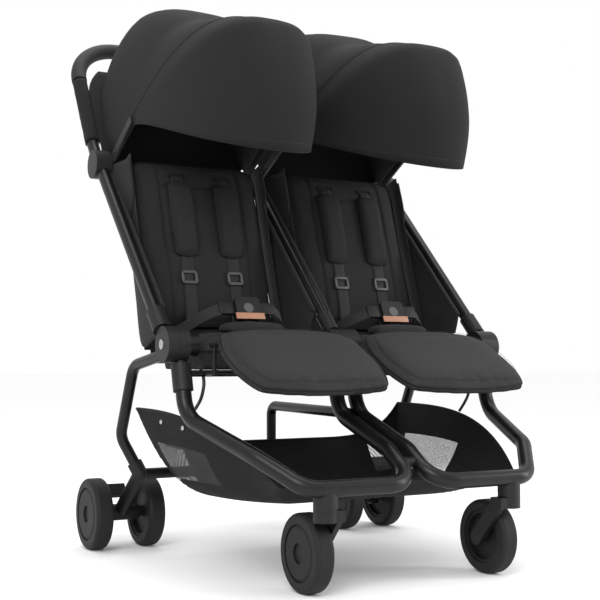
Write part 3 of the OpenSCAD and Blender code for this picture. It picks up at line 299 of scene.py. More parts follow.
# %% Net
NET_PITCH, NET_LIMIT = 0.0018, 0.72
net = finish("basket net", weave, grey(0.03), grey(0.05), (0.7, 0.9), 0.0002, Threads=900, Mottle=20)
net_tree = net.node_tree
net_coords = net_tree.nodes.new("ShaderNodeTexCoord").outputs["Object"]
net_split = net_tree.nodes.new("ShaderNodeSeparateXYZ")
net_tree.links.new(net_coords, net_split.inputs[0])
bars = []
for axis in ("Y", "Z"):
    turns = math_node(net_tree, "MULTIPLY", net_split.outputs[axis], 2 * pi / NET_PITCH)
    bars.append(math_node(net_tree, "GREATER_THAN", math_node(net_tree, "SINE", turns), NET_LIMIT))
net_alpha = math_node(net_tree, "MAXIMUM", *bars)
net_tree.links.new(net_alpha, net_tree.nodes["Principled BSDF"].inputs["Alpha"])
print("net threads every", round(NET_PITCH * 1000, 1), "mm")

# %% [markdown]
# Rigid nodes keep their CAD shape. Each gets the finish of its material slot in the record.

# %% Finishes on the rigid nodes
FINISHES = dict(
    frame_paint=frame_paint, moulding=moulding, wheel_rubber=wheel_rubber, steel=steel,
    grip_foam=grip_foam, button_plastic=button_plastic, cable_sheath=cable_sheath,
    hood_cloth=hood_cloth, seat_cloth=seat_cloth, side_cloth=side_cloth, webbing=webbing,
    calf_cloth=calf_cloth, basket_cloth=basket_cloth,
)
for entry in frame["record"]["subparts"]:
    obj = nodes[entry["node"]]
    for material_slot in obj.material_slots:
        material_slot.material = FINISHES[entry["material_slot"]]

# %% [markdown]
# The next cells are the sewing kit: a grid of points becomes a closed sheet, a line of points becomes a
# round tube for piping and rolled hems, and a right-hand piece gives its left-hand twin.

# %% Mesh helpers


def piece(name, points, faces, mat):
    mesh = shape(name, points, [], faces)
    mesh.materials.append(mat)
    return wrap(name, mesh)


def wrap(name, mesh):
    mesh.polygons.foreach_set("use_smooth", [True] * len(mesh.polygons))
    return add(name.replace(" ", "_"), mesh)


def face_out(obj, merge=0.0):
    """Turns the faces one way, and merges doubled points if asked."""
    bm = bmesh.new()
    bm.from_mesh(obj.data)
    if merge:
        bmesh.ops.remove_doubles(bm, verts=bm.verts, dist=merge)
        bmesh.ops.dissolve_degenerate(bm, edges=bm.edges, dist=merge)
    bmesh.ops.recalc_face_normals(bm, faces=bm.faces)
    bm.to_mesh(obj.data)
    bm.free()
    return obj


def grid_quads(n, m):
    """The faces of a grid of n by m cells, with its points listed row by row."""
    row = n + 1
    first = [j * row + i for j in range(m) for i in range(n)]
    return [(k, k + 1, k + row + 1, k + row) for k in first]


def slab(name, upper, lower, n, m, mat):
    """A closed form between an upper and a lower grid of points."""
    row, size = n + 1, len(upper)
    quads = grid_quads(n, m)
    ring = list(range(n)) + [j * row + n for j in range(m)]
    ring += [m * row + n - i for i in range(n)] + [(m - j) * row for j in range(m)]
    sides = [(ring[k - 1], ring[k], ring[k] + size, ring[k - 1] + size) for k in range(len(ring))]
    under = [tuple(v + size for v in reversed(q)) for q in quads]
    return face_out(piece(name, list(upper) + list(lower), quads + under + sides, mat))


def ring_faces(count, sides, closed):
    """The faces between rings of points, each joined to the next."""
    faces = []
    for k in range(count if closed else count - 1):
        a, b = k * sides, (k + 1) % count * sides
        faces += [(a + i, a + (i + 1) % sides, b + (i + 1) % sides, b + i) for i in range(sides)]
    return faces


def tube(name, points, radius, mat, sides=8, closed=False):
    """A round tube along a line of points."""
    points = [Vector(p) for p in points]
    count = len(points)
    verts = []
    side = None
    for k, p in enumerate(points):
        ahead = points[(k + 1) % count] if closed or k < count - 1 else p
        behind = points[k - 1] if closed or k else p
        along = (ahead - behind).normalized()
        hint = side if side is not None else along.orthogonal()
        side = (hint - along * hint.dot(along)).normalized()
        up = along.cross(side)
        for i in range(sides):
            turn = 2 * pi * i / sides
            verts.append(p + radius * (cos(turn) * side + sin(turn) * up))
    faces = ring_faces(count, sides, closed)
    if not closed:
        faces += [tuple(reversed(range(sides))), tuple(range((count - 1) * sides, count * sides))]
    return face_out(piece(name, verts, faces, mat))


def settle(obj):
    """Turns what the modifiers show into the piece's plain mesh."""
    shown = obj.evaluated_get(bpy.context.evaluated_depsgraph_get())
    mesh = bpy.data.meshes.new_from_object(shown)
    mesh.polygons.foreach_set("use_smooth", [True] * len(mesh.polygons))
    obj.modifiers.clear()
    obj.data = mesh
    return obj


print("mesh helpers ready")

# %% Placing helpers


def twin(obj):
    mesh = obj.data.copy()
    mesh.transform(Matrix.Scale(-1, 4, (1, 0, 0)))
    mesh.flip_normals()
    return wrap(obj.name.replace("right", "left"), mesh)


def mount(obj, body, stands_for=(), soft=None, bend=None):
    """Hangs a right-hand piece and its left-hand twin on their bodies, or, given bend, only bakes them
    in place.
    """
    pair = {"right": obj, "left": twin(obj)}
    for side, one in pair.items():
        if bend:
            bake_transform(one)
        else:
            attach(one, body.format(side))
        if stands_for:
            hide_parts(*[n.format(side) for n in stands_for])
        if soft:
            soft(one, side)
    return pair


def join(name, parts):
    """One mesh from several pieces, each with its own finish."""
    bm = bmesh.new()
    mats = []
    for part in parts:
        start = len(bm.faces)
        bm.from_mesh(part.data)
        bm.faces.ensure_lookup_table()
        for face in bm.faces[start:]:
            mat = part.data.materials[face.material_index]
            if mat not in mats:
                mats.append(mat)
            face.material_index = mats.index(mat)
    mesh = bpy.data.meshes.new(name)
    bm.to_mesh(mesh)
    bm.free()
    for mat in mats:
        mesh.materials.append(mat)
    for part in parts:
        bpy.data.objects.remove(part)
    return wrap(name, mesh)


def move(where, *parts):
    for part in parts:
        part.data.transform(where)


def pad_of():
    return lambda obj, side: obj


print("placing helpers ready")

# %% [markdown]
# Stitches and fasteners repeat along seams, so Geometry Nodes place them. A seam is drawn as a chain of
# edges. The tree turns it into a curve, spaces points along it and lays a short thread on each.

# %% Stitch and fastener trees


def node_tree(name, numbers):
    tree = bpy.data.node_groups.new(name, "GeometryNodeTree")
    socket(tree, "Geometry", "INPUT", "Geometry")
    for label, value in numbers:
        socket(tree, label, "INPUT").default_value = value
    socket(tree, "Finish", "INPUT", "Material")
    socket(tree, "Geometry", "OUTPUT", "Geometry")
    return tree, tree.nodes.new("NodeGroupInput"), tree.nodes.new("NodeGroupOutput")


def end_tree(tree, start, end, points, shape, direction):
    turn = tree.nodes.new("FunctionNodeAlignRotationToVector")
    turn.axis = "Z"
    copies = tree.nodes.new("GeometryNodeInstanceOnPoints")
    real = tree.nodes.new("GeometryNodeRealizeInstances")
    paint = tree.nodes.new("GeometryNodeSetMaterial")
    link_nodes(
        tree,
        (direction, turn.inputs["Vector"]),
        (points, copies.inputs["Points"]),
        (shape, copies.inputs["Instance"]),
        (turn.outputs[0], copies.inputs["Rotation"]),
        (copies.outputs[0], real.inputs[0]),
        (real.outputs[0], paint.inputs["Geometry"]),
        (start.outputs["Finish"], paint.inputs["Material"]),
        (paint.outputs[0], end.inputs[0]),
    )


LONG_STITCH, MID_STITCH = {"Pitch": 0.006, "Length": 0.004}, {"Pitch": 0.005, "Length": 0.0034}
STITCH = [("Pitch", 0.0045), ("Length", 0.003), ("Radius", 0.00045)]
stitch_tree, s_in, s_out = node_tree("stitch row", STITCH)
seam = stitch_tree.nodes.new("GeometryNodeMeshToCurve")
spaced = stitch_tree.nodes.new("GeometryNodeResampleCurve")
spaced.mode = "LENGTH"
bead = stitch_tree.nodes.new("GeometryNodeMeshCylinder")
bead.inputs["Vertices"].default_value = 6
link_nodes(
    stitch_tree,
    (s_in.outputs["Geometry"], seam.inputs["Mesh"]),
    (seam.outputs[0], spaced.inputs["Curve"]),
    (s_in.outputs["Pitch"], spaced.inputs["Length"]),
    (s_in.outputs["Radius"], bead.inputs["Radius"]),
    (s_in.outputs["Length"], bead.inputs["Depth"]),
)
tangent = stitch_tree.nodes.new("GeometryNodeInputTangent")
end_tree(stitch_tree, s_in, s_out, spaced.outputs[0], bead.outputs["Mesh"], tangent.outputs[0])

stud_tree, d_in, d_out = node_tree("fasteners", [("Radius", 0.004), ("Height", 0.002)])
stud = stud_tree.nodes.new("GeometryNodeMeshCone")
stud.inputs["Vertices"].default_value = 16
facing = stud_tree.nodes.new("GeometryNodeInputNamedAttribute")
facing.data_type = "FLOAT_VECTOR"
facing.inputs["Name"].default_value = "facing"
link_nodes(
    stud_tree,
    (d_in.outputs["Radius"], stud.inputs["Radius Bottom"]),
    (math_node(stud_tree, "MULTIPLY", d_in.outputs["Radius"], 0.7), stud.inputs["Radius Top"]),
    (d_in.outputs["Height"], stud.inputs["Depth"]),
)
end_tree(stud_tree, d_in, d_out, d_in.outputs["Geometry"], stud.outputs["Mesh"], facing.outputs[0])
print("trees", stitch_tree.name, "and", stud_tree.name)

# %% Run a tree


def grow(obj, tree, mat, **sizes):
    mod = obj.modifiers.new(tree.name, "NODES")
    mod.node_group = tree
    values = {**sizes, "Finish": mat}
    for item in tree.interface.items_tree:
        if item.in_out == "INPUT" and item.name in values:
            mod[item.identifier] = values[item.name]
    return settle(obj)


def stitches(name, lines, **sizes):
    points, edges = [], []
    for line in lines:
        start = len(points)
        points += line
        edges += [(start + k, start + k + 1) for k in range(len(line) - 1)]
    return grow(wrap(name, shape(name, points, edges, [])), stitch_tree, thread, **sizes)


def studs(name, places, mat, radius, height):
    mesh = shape(name, [p for p, _ in places], [], [])
    facing_data = mesh.attributes.new("facing", "FLOAT_VECTOR", "POINT")
    facing_data.data.foreach_set("vector", [v for _, way in places for v in way])
    return grow(wrap(name, mesh), stud_tree, mat, Radius=radius, Height=height)


print("trees run by grow()")

# %% [markdown]
# Padding is made by letting cloth swell. The pad starts as a closed crowned form, slightly small. It is
# remeshed to an even net and filled with air for twenty frames of cloth simulation. Each point's move
# is capped, so that the pad stays in its place. Seams and channels are pressed in afterwards.

# %% Cushion helpers
AIR_FRAMES, AIR_PRESSURE = 20, 4.0


def frame_at(origin, x, y):
    x, y = Vector(x), Vector(y)
    z = x.cross(y)
    return Matrix([(x[k], y[k], z[k], origin[k]) for k in range(3)] + [(0, 0, 0, 1)])


def outline(w, l, rounding, pull, u, v):
    x = u * sqrt(1 - rounding * v * v / 2) * (1 - pull * (1 - v * v))
    y = v * sqrt(1 - rounding * u * u / 2) * (1 - pull * (1 - u * u))
    return x * w / 2, y * l / 2


def crown(w, l, thick, rim, rounding, pull, n, m):
    """Upper and lower points of a crowned pad on the plane z = 0."""
    upper, lower = [], []
    for j in range(m + 1):
        for i in range(n + 1):
            u, v = -1 + 2 * i / n, -1 + 2 * j / m
            x, y = outline(w, l, rounding, pull, u, v)
            full = (1 - u**4) * (1 - v**4)
            upper.append((x, y, rim + (thick - rim) * sqrt(max(full, 0))))
            lower.append((x, y, 0))
    return upper, lower


def sector(p, steps):
    """The number of the direction in which a point lies."""
    return int(steps * (atan2(p.y, p.x) / (2 * pi) % 1)) % steps


def edge_reach(obj, low, high, steps=150):
    """How far a pad reaches from its middle in each direction, between two heights."""
    reach = [0.0] * steps
    for p in (v.co for v in obj.data.vertices):
        if low < p.z < high:
            k = sector(p, steps)
            reach[k] = max(reach[k], sqrt(p.x**2 + p.y**2))
    for k in range(steps):
        if not reach[k]:
            reach[k] = reach[k - 1]
    return [(reach[k - 1] + 2 * reach[k] + reach[(k + 1) % steps]) / 4 for k in range(steps)]


def edge_line(reach, high, inset):
    """A closed line at one height, a little inside a pad's edge."""
    turns = [2 * pi * (k + 0.5) / len(reach) for k in range(len(reach))]
    return [Vector(((r - inset) * cos(t), (r - inset) * sin(t), high)) for r, t in zip(reach, turns)]


def piping(reach, high, inset, radius):
    return tube("piping", edge_line(reach, high, inset), radius, binding, closed=True)


def from_edge(reach, p):
    """How far a point lies inside a pad's edge."""
    return reach[sector(p, len(reach))] - sqrt(p.x**2 + p.y**2)


def plump(obj, cap, voxel):
    """Fills a pad with air and keeps each point within cap(point) of its start."""
    remesh = obj.modifiers.new("net", "REMESH")
    remesh.mode = "VOXEL"
    remesh.voxel_size = voxel
    settle(obj)
    before = [v.co.copy() for v in obj.data.vertices]
    cloth = obj.modifiers.new("air", "CLOTH")
    cloth.settings.quality = 4
    cloth.settings.use_pressure = True
    cloth.settings.uniform_pressure_force = AIR_PRESSURE
    cloth.settings.effector_weights.gravity = 0
    cloth.point_cache.frame_start, cloth.point_cache.frame_end = 1, AIR_FRAMES
    for step in range(1, AIR_FRAMES + 1):
        scene.frame_set(step)
    swollen = obj.evaluated_get(bpy.context.evaluated_depsgraph_get()).to_mesh()
    after = [v.co.copy() for v in swollen.vertices]
    obj.modifiers.clear()
    for vert, old, new in zip(obj.data.vertices, before, after):
        shift = new - old
        vert.co = old + shift * min(1.0, cap(old) / max(shift.length, 1e-9))
    scene.frame_set(1)
    return obj


def cushion(name, form, mat, room, voxel, n=24, m=24):
    """A pad of a form (the values of crown), swollen within its room and then smoothed."""
    obj = plump(slab(name, *crown(*form, n, m), n, m, mat), room, voxel)
    obj.modifiers.new("smooth", "SMOOTH").iterations = 2
    fine = obj.modifiers.new("fine", "SUBSURF")
    fine.levels = fine.render_levels = 1
    return settle(obj)


def press(obj, depth):
    """Pushes each point down along z by depth(point)."""
    for vert in obj.data.vertices:
        vert.co.z -= depth(vert.co)
    return obj


def groove(distance, width):
    return max(0.0, 1 - abs(distance) / width) ** 2


print("cushion helpers ready")

# %% [markdown]
# The cloth pieces hang on a few points of the frame: the hinge, the slanted posts, the pivots of the
# hoods and the rods of the seats. They are written once here, for the right-hand seat.

# %% Points of the frame
HINGE = Vector((0, -0.149206, 0.413))
RISE = Vector((0, 0.700909, 0.713250))
GRIP = Vector((0, 0.522499, 0.852640))
BEND = Vector((0, 0.257324, 0.82669))
PIVOT = Vector((0, 0.220874, 0.789596))
ROLL = Vector((0, 0.0355, 0.3843))
CALF_ROD = Vector((0, -0.203206, 0.411))
ACROSS = Vector((1, 0, 0))
POST_X, HOOD_X, HOOD_W = 0.3535, 0.176, 0.1564
BACK_X, SEAT_X, CALF_X = 0.176, 0.16485, 0.151
print("post leans", round(degrees(atan2(RISE.y, RISE.z)), 1), "degrees")

# %% [markdown]
# A hood is a set of arches that turn about the pivots. A table gives the reach of the crown at each
# angle, and a smooth reading of it draws the swells over the bows and the dip behind the seam. The
# arches are superellipses, square at the back and rounder towards the hem.

# %% Hood arches
WALL, SEAM, HEM, CORNER = 58.5, 147, 184, 151
WALL_R, HEM_R, CORNER_R, OPEN_R = 0.284, 0.478, 0.134, 0.024
REACH = [
    (WALL, WALL_R), (76.75, 0.32267), (95, 0.342), (124, 0.342),
    (SEAM, 0.432), (156, 0.492), (170, 0.495), (HEM, HEM_R),
]
POWER = [(WALL, 4.0), (SEAM, 2.9), (HEM, 2.2)]
HEM_POWER = 1.1


def read_smooth(table, at):
    """Reads a table along a curve that never overshoots its entries."""
    xs, ys = zip(*table)
    last = len(xs) - 1
    slopes = [(ys[i + 1] - ys[i]) / (xs[i + 1] - xs[i]) for i in range(last)]

    def lean(i):
        if i in (0, last):
            return slopes[min(i, last - 1)]
        a, b = slopes[i - 1], slopes[i]
        return 2 * a * b / (a + b) if a * b > 0 else 0.0

    k = max(0, min(last - 1, sum(at >= x for x in xs) - 1))
    wide = xs[k + 1] - xs[k]
    t = (at - xs[k]) / wide
    low = (1 + 2 * t) * (1 - t) ** 2 * ys[k] + t * (1 - t) ** 2 * wide * lean(k)
    return low + t * t * (3 - 2 * t) * ys[k + 1] + t * t * (t - 1) * wide * lean(k + 1)


def arch(angle, share, cut, open_r):
    """A point of the arch at an angle, from its left end (0) to its right end (1)."""
    power = read_smooth(POWER, angle)
    reach = read_smooth(REACH, angle) - cut
    start = asin(((open_r - cut) / reach) ** (power / 2))
    t = start + (pi - 2 * start) * share
    side = abs(cos(t)) ** (2 / power) * (1 if cos(t) > 0 else -1)
    r = reach * sin(t) ** (2 / power)
    turn = radians(angle)
    return PIVOT + Vector((HOOD_X - (HOOD_W - cut) * side, r * cos(turn), r * sin(turn)))


def hem_angle(share):
    """The angle of the visor's lower edge, which is straight as seen from the side."""
    start = asin((CORNER_R / HEM_R) ** HEM_POWER)
    r = HEM_R * sin(start + (pi - 2 * start) * share) ** (1 / HEM_POWER)
    along = (r - CORNER_R) / (HEM_R - CORNER_R)
    corners = ((CORNER_R, CORNER), (HEM_R, HEM))
    ends = [(rr * cos(radians(a)), rr * sin(radians(a))) for rr, a in corners]
    y, z = (ends[0][k] + along * (ends[1][k] - ends[0][k]) for k in (0, 1))
    return 180 - degrees(atan2(z, -y))


print("hem falls to", round(hem_angle(0.5), 1), "degrees in the middle")

# %% [markdown]
# Cloth is drawn as its middle surface first. Doubled points are merged, the faces turned one way, and
# only then does it get its thickness, so that the two skins stay parallel.

# %% Cloth helper
CLOTH_THICK, MERGE, WASTE = 0.003, 0.00002, 1.25
HALF_THICK = CLOTH_THICK / 2


def cloth(name, at, n, m, mats, zone=None):
    """A sheet over a grid of n by m cells, with its points read from at(i, j)."""
    points = [at(i, j) for j in range(m + 1) for i in range(n + 1)]
    obj = piece(name, points, grid_quads(n, m), mats[0])
    for mat in mats[1:]:
        obj.data.materials.append(mat)
    if zone:
        for face in obj.data.polygons:
            face.material_index = zone(face.index)
    face_out(obj, MERGE)
    solid = obj.modifiers.new("thickness", "SOLIDIFY")
    solid.thickness = CLOTH_THICK
    solid.offset = 0
    return settle(obj)


def declare_sheet():
    def declare(obj, side):
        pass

    return declare


print("cloth helper ready")

# %% [markdown]
# The visor is the front of the hood. On the stroller its hem turns back with the arms while its rear
# edge stays sewn to the rear panel; here it is baked in place. The hem is bound with tape, the seam is
# piped, and both carry a row of stitches.

# %% Hood visor
CROWN = PIVOT + HOOD_X * ACROSS


def visor_at(share, rows, lift):
    low = hem_angle(share)
    p = arch(low + (SEAM - low) * rows, share, HALF_THICK, CORNER_R)
    out = (p - CROWN).normalized()
    loose = 0.0014 * sin(pi * share) ** 2 * (0.5 + 0.5 * noise.noise(p * 15))
    return p + out * (loose + lift)


N, M = 72, 22
visor = cloth("visor cloth right", lambda i, j: visor_at(i / N, j / M, 0), N, M, [hood_cloth])
edges = [
    tube("edge", [visor_at(i / 90, rows, lift) for i in range(91)], 0.0018, binding)
    for rows, lift in ((0, 0), (1, 0.001))
]
sewn = [[visor_at(i / 120, rows, 0.0016) for i in range(4, 117)] for rows in (0.05, 0.95)]
visor_trim = join("visor trim right", [*edges, stitches("visor stitches", sewn, **MID_STITCH)])
seam_turn = radians(SEAM)
seam_square = Vector((0, -sin(seam_turn), cos(seam_turn)))
FLIP_RUN = 0.28
flip = ("upper_frame", PIVOT, PIVOT + FLIP_RUN * seam_square)
trim_pair = mount(visor_trim, "hood_{}", bend=flip)
visor_sheet = declare_sheet()
mount(visor, "hood_{}", ["hood_visor_{}"], visor_sheet, bend=flip)
print("visor faces", len(visor.data.polygons))

# %% [markdown]
# The rear panel stays on the frame. One grid runs from the strip tucked under the visor, over the rear
# bow and down the flat back. A wing joins it to the sleeve around the outer post.

# %% Hood rear panel


def pipe(name, a, b, outer, inner, mat, wave=0.0, steps=24, sides=24):
    """A round sleeve: rings go up its gathered outside and come back down its bore."""
    along = (b - a).normalized()
    side = along.orthogonal().normalized()
    up = along.cross(side)
    rings = [(k, outer, wave) for k in range(steps + 1)]
    rings += [(k, inner, 0.0) for k in range(steps, -1, -1)]
    verts = []
    for k, radius, gather in rings:
        for i in range(sides):
            turn = 2 * pi * i / sides
            r = radius + gather * noise.noise(Vector((3 * cos(turn), 3 * sin(turn), k * 0.8)))
            verts.append(a + (b - a) * k / steps + r * (cos(turn) * side + sin(turn) * up))
    return face_out(piece(name, verts, ring_faces(len(rings), sides, True), mat))


INSET, REAR_ROWS, WALL_ROWS = 0.0069, 26, 10


def rear_at(share, row):
    if row == 0:
        p = arch(SEAM, share, INSET, OPEN_R)
        r = 0.94 * (Vector((0, p.y, p.z)) - PIVOT).length
        turn = radians(SEAM + 4)
        return Vector((p.x, PIVOT.y + r * cos(turn), PIVOT.z + r * sin(turn)))
    if row <= REAR_ROWS + 1:
        done = (row - 1) / REAR_ROWS
        p = arch(SEAM + (WALL - SEAM) * done, share, INSET, OPEN_R)
        out = (p - CROWN).normalized()
        return p + out * 0.0012 * sin(pi * share) ** 2 * sin(pi * done) * noise.noise(p * 15)
    p = arch(WALL, share, INSET, OPEN_R)
    low = PIVOT + Vector((p.x, 0, 0)) + GRIP * 0.005
    return p + (low - p) * (row - 1 - REAR_ROWS) / WALL_ROWS


REAR_ALL = REAR_ROWS + 1 + WALL_ROWS
rear_shell = cloth("rear shell", lambda i, j: rear_at(i / N, j), N, REAR_ALL, [hood_cloth])
WING_OFF = Vector((0, -GRIP.z, GRIP.y)) * HALF_THICK
WING_FOOT, WING_RUN, WING_BEND = 0.03, 0.242, 0.2
WING_INNER, WING_OUTER, WING_LAP = 0.312, 0.3425, 0.006


def wing_at(across, along):
    r = WING_FOOT + WING_RUN * along
    hood_side = HOOD_X + (HOOD_W - INSET) * (1 - (r / WALL_R) ** 4) ** 0.25
    inner = min(WING_INNER, hood_side - WING_LAP)
    outer = WING_OUTER - 6 * max(0.0, r - WING_BEND) ** 2
    return PIVOT + WING_OFF + ACROSS * (inner + (outer - inner) * across) + GRIP * r


wing = cloth("wing", lambda i, j: wing_at(i / 6, j / 20), 6, 20, [hood_cloth])
sleeve_ends = [BEND + POST_X * ACROSS + up * GRIP for up in (0.020, 0.193)]
sleeve = pipe("sleeve", *sleeve_ends, 0.0157, 0.0128, hood_cloth, wave=0.0008)
hood_rear = join("hood rear panel right", [rear_shell, wing, sleeve])
over = Vector((0, 0, 0.0022))
bow_rows = [1 + REAR_ROWS * k for k in (0.56, 0.6)]
bow_lines = [[rear_at(i / 120, row) + over for i in range(12, 109)] for row in bow_rows]
rear_trim = stitches("hood bow stitches right", bow_lines, **LONG_STITCH)
rear_trim_pair = mount(rear_trim, "upper_frame")
rear_sheet = declare_sheet()
mount(hood_rear, "upper_frame", ["hood_rear_{}"], rear_sheet)
print("rear panel faces", len(hood_rear.data.polygons))

# %% [markdown]
# Each seat has a cloth panel on either side. It is sewn to the post in a rolled hem and runs forward and
# in to the side of the backrest and the seat. It is drawn as a ruled sheet between those two lines. Low
# down it ends behind the backrest, and above the crossing with the post in front of it.

# %% Side panels


def through(points, at):
    """A smooth line through points, read from 0 to 1."""
    last = len(points) - 1
    k = min(int(at * last), last - 1)
    t = at * last - k
    a, b, c, d = (points[max(0, min(last, k + o))] for o in (-1, 0, 1, 2))
    square, cube = 2 * a - 5 * b + 4 * c - d, 3 * b - a - 3 * c + d
    return 0.5 * (2 * b + (c - a) * t + square * t * t + cube * t**3)


SIN_LEAN, COS_LEAN = sin(radians(17)), cos(radians(17))
inner_edge = [Vector((0, y, z)) for y, z in ((-0.0852, 0.444), (-0.0252, 0.428), (0.0458, 0.4143))]
for up, past in ((0.13, 0.006), (0.2, 0.006), (0.27, 0.004), (0.34, -0.034), (0.425, -0.036)):
    inner_edge.append(ROLL + Vector((0, up * SIN_LEAN + past, up * COS_LEAN)))
PANEL_FOOT, PANEL_RUN = 0.095, 0.43


def on_post(x_post, u):
    return HINGE + RISE * (PANEL_FOOT + PANEL_RUN * u) + ACROSS * x_post


def side_at(x_post, x_seat, u, v):
    post = on_post(x_post, u)
    seat = through(inner_edge, u) + ACROSS * x_seat
    bow = sin(pi * v) * 0.0016 * noise.noise(Vector((v, 6 * u, x_post * 9)))
    return post + (seat - post) * v + ACROSS * bow


PANELS = (("outer", 0.3357, 0.3248, -0.0018), ("inner", 0.0163, 0.0272, 0.0018))
for label, x_post, x_seat, lift in PANELS:
    panel = cloth(
        label + " side panel right",
        lambda i, j: side_at(x_post, x_seat, j / 36, i / 12), 12, 36, [side_cloth],
    )
    hem = tube("rolled hem", [on_post(x_post, k / 30) for k in range(31)], 0.005, side_cloth, sides=14)
    row = [side_at(x_post, x_seat, k / 60, 0.18) + ACROSS * lift for k in range(3, 58)]
    trim = join(label + " side hem right", [hem, stitches("hem stitches", [row], **MID_STITCH)])
    pair = mount(trim, "upper_frame")
    stands_for = ["seat_sides_{}"] if label == "outer" else []
    panel_sheet = declare_sheet()
    mount(panel, "upper_frame", stands_for, panel_sheet)
print("side panels follow", len(inner_edge), "points of the seat")

# %% [markdown]
# The seat cushion is foam: flat underneath, crowned on top, with two quilted channels across it. The
# air fill may lift only its top. The sides and the rear edge have hardly any room to grow.

# %% Seat cushion


def seat_room(p):
    if p.z < 0.012 or p.y > 0.082:
        return 0.0002
    return 0.0062 if p.z > 0.036 else 0.0012


SEAT_W, CHANNELS = 0.2651, (-0.0608, 0.0343)
seat_form = (SEAT_W, 0.196, 0.064, 0.032, 0.25, 0.03)
seat = cushion("seat pad right", seat_form, seat_cloth, seat_room, 0.0055)
press(seat, lambda p: 0.0042 * max(groove(p.y - c, 0.009) for c in CHANNELS) if p.z > 0.036 else 0.0)


def top_at(obj, x, y, near=0.006):
    """The height of a pad's top at a place."""
    found = [v.co.z for v in obj.data.vertices if abs(v.co.x - x) < near and abs(v.co.y - y) < near]
    return max(found)


def laid(obj, points, lift):
    return [Vector((x, y, top_at(obj, x, y) + lift)) for x, y in points]


seat_lines = [laid(seat, [(-0.108 + 0.006 * k, c) for k in range(37)], -0.0002) for c in CHANNELS]
seat_trim = stitches("seat stitches right", seat_lines, **LONG_STITCH)
seat_edge = edge_reach(seat, 0.026, 0.038)
seat_trim = join("seat trim right", [seat_trim, piping(seat_edge, 0.033, 0.0008, 0.0016)])
seat_frame = Matrix.Translation((SEAT_X, -0.064856, 0.3683))
move(seat_frame, seat, seat_trim)
mount(seat_trim, "chassis")
mount(seat, "chassis", ["seat_cushion_{}"], pad_of())
print("seat top", round(max(v.co.z for v in seat.data.vertices), 4))

# %% [markdown]
# The backrest is one tall pad. Two upright seams part its middle from the side strips, which are a
# little darker, and a cross seam runs under the slits that let the shoulder straps through. Flaps at its
# foot join it to the sewn roll that it turns on, and a thin band closes each side.

# %% Backrest
BACK_W, BACK_LEN, BACK_THICK, BACK_RIM = 0.2896, 0.370, 0.030, 0.008
SEAM_X, SEAM_Y, SLIT_Y, STRAP_X = 0.088, 0.118, 0.139, 0.05


def back_room(p):
    if p.z < 0.004:
        return 0.0004
    return 0.0045 if p.z > 0.012 else 0.0015


back_form = (BACK_W, BACK_LEN, BACK_THICK, BACK_RIM, 0.22, 0.03)
back = cushion("back pad right", back_form, seat_cloth, back_room, 0.0055)


def back_dents(p):
    if p.z < 0.012:
        return 0.0
    middle = abs(p.x) < SEAM_X
    cross_seam = groove(p.y - SEAM_Y, 0.007) if middle else 0.0
    return 0.0045 * max(groove(abs(p.x) - SEAM_X, 0.008), cross_seam)


press(back, back_dents)
back.data.materials.append(side_cloth)
for face in back.data.polygons:
    face.material_index = 1 if abs(face.center.x) > SEAM_X and face.center.z > 0.006 else 0
print("backrest faces", len(back.data.polygons))

# %% Backrest trim
upright = [[(side * SEAM_X, -0.165 + 0.006 * k) for k in range(56)] for side in (-1, 1)]
level = [[(-0.084 + 0.006 * k, SEAM_Y) for k in range(29)]]
sewn_lines = [laid(back, line, 0.0001) for line in upright + level]
back_trim = [stitches("back stitches", sewn_lines, **LONG_STITCH)]
for side in (-1, 1):
    edge = [(0.017, 0.0035), (-0.017, 0.0035), (-0.017, -0.0035), (0.017, -0.0035)]
    loop = []
    for k in range(4):
        (xa, ya), (xb, yb) = edge[k], edge[(k + 1) % 4]
        for t in range(4):
            x = side * STRAP_X + xa + (xb - xa) * t / 4
            loop.append((x, SLIT_Y + ya + (yb - ya) * t / 4))
    back_trim.append(tube("strap slit", laid(back, loop, 0.0004), 0.0013, binding, closed=True))
back_trim.append(piping(edge_reach(back, 0.002, 0.012), 0.008, 0.001, 0.0016))
back_trim = join("back trim right", back_trim)


def block(name, low, high, mat, ease=0.0):
    """A box, with its edges eased if asked."""
    (x0, y0, z0), (x1, y1, z1) = low, high
    around = ((x0, y0), (x1, y0), (x1, y1), (x0, y1))
    points = [(x, y, z) for z in (z0, z1) for x, y in around]
    faces = [(3, 2, 1, 0), (4, 5, 6, 7), (0, 1, 5, 4), (1, 2, 6, 5), (2, 3, 7, 6), (3, 0, 4, 7)]
    obj = piece(name, points, faces, mat)
    if ease:
        round_off = obj.modifiers.new("ease", "BEVEL")
        round_off.width = ease
        round_off.segments = 3
        settle(obj)
    return obj


BACK_UP = Vector((0, SIN_LEAN, COS_LEAN))
ROLL_DROP, FLAP_TOP, BAND_X = 0.245, -0.150, 0.1456
half_roll, half_back = SEAT_W / 2, BACK_W / 2
back_frame = frame_at(ROLL + BACK_X * ACROSS + ROLL_DROP * BACK_UP, ACROSS, BACK_UP)
flaps = [
    block("flap", (-half, low, under), (half, FLAP_TOP, over), seat_cloth, ease=0.0012)
    for half, low, under, over in (
        (half_roll, -0.2475, -0.005, -0.0003), (half_back, -0.222, -0.0048, -0.0006),
    )
]
bands = [
    block("band", (x - 0.001, -0.205, -0.006), (x + 0.001, 0.182, 0.033), seat_cloth, ease=0.0008)
    for x in (-BAND_X, BAND_X)
]
roll_line = [(-half_roll + SEAT_W * k / 12, -ROLL_DROP, 0) for k in range(13)]
roll = tube("roll", roll_line, 0.005, seat_cloth, sides=16)
back = join("back pad right", [back, *flaps, roll, *bands])
move(back_frame, back, back_trim)
mount(back_trim, "back_{}")
mount(back, "back_{}", ["backrest_{}"], pad_of())
print("backrest trim faces", len(back_trim.data.polygons))

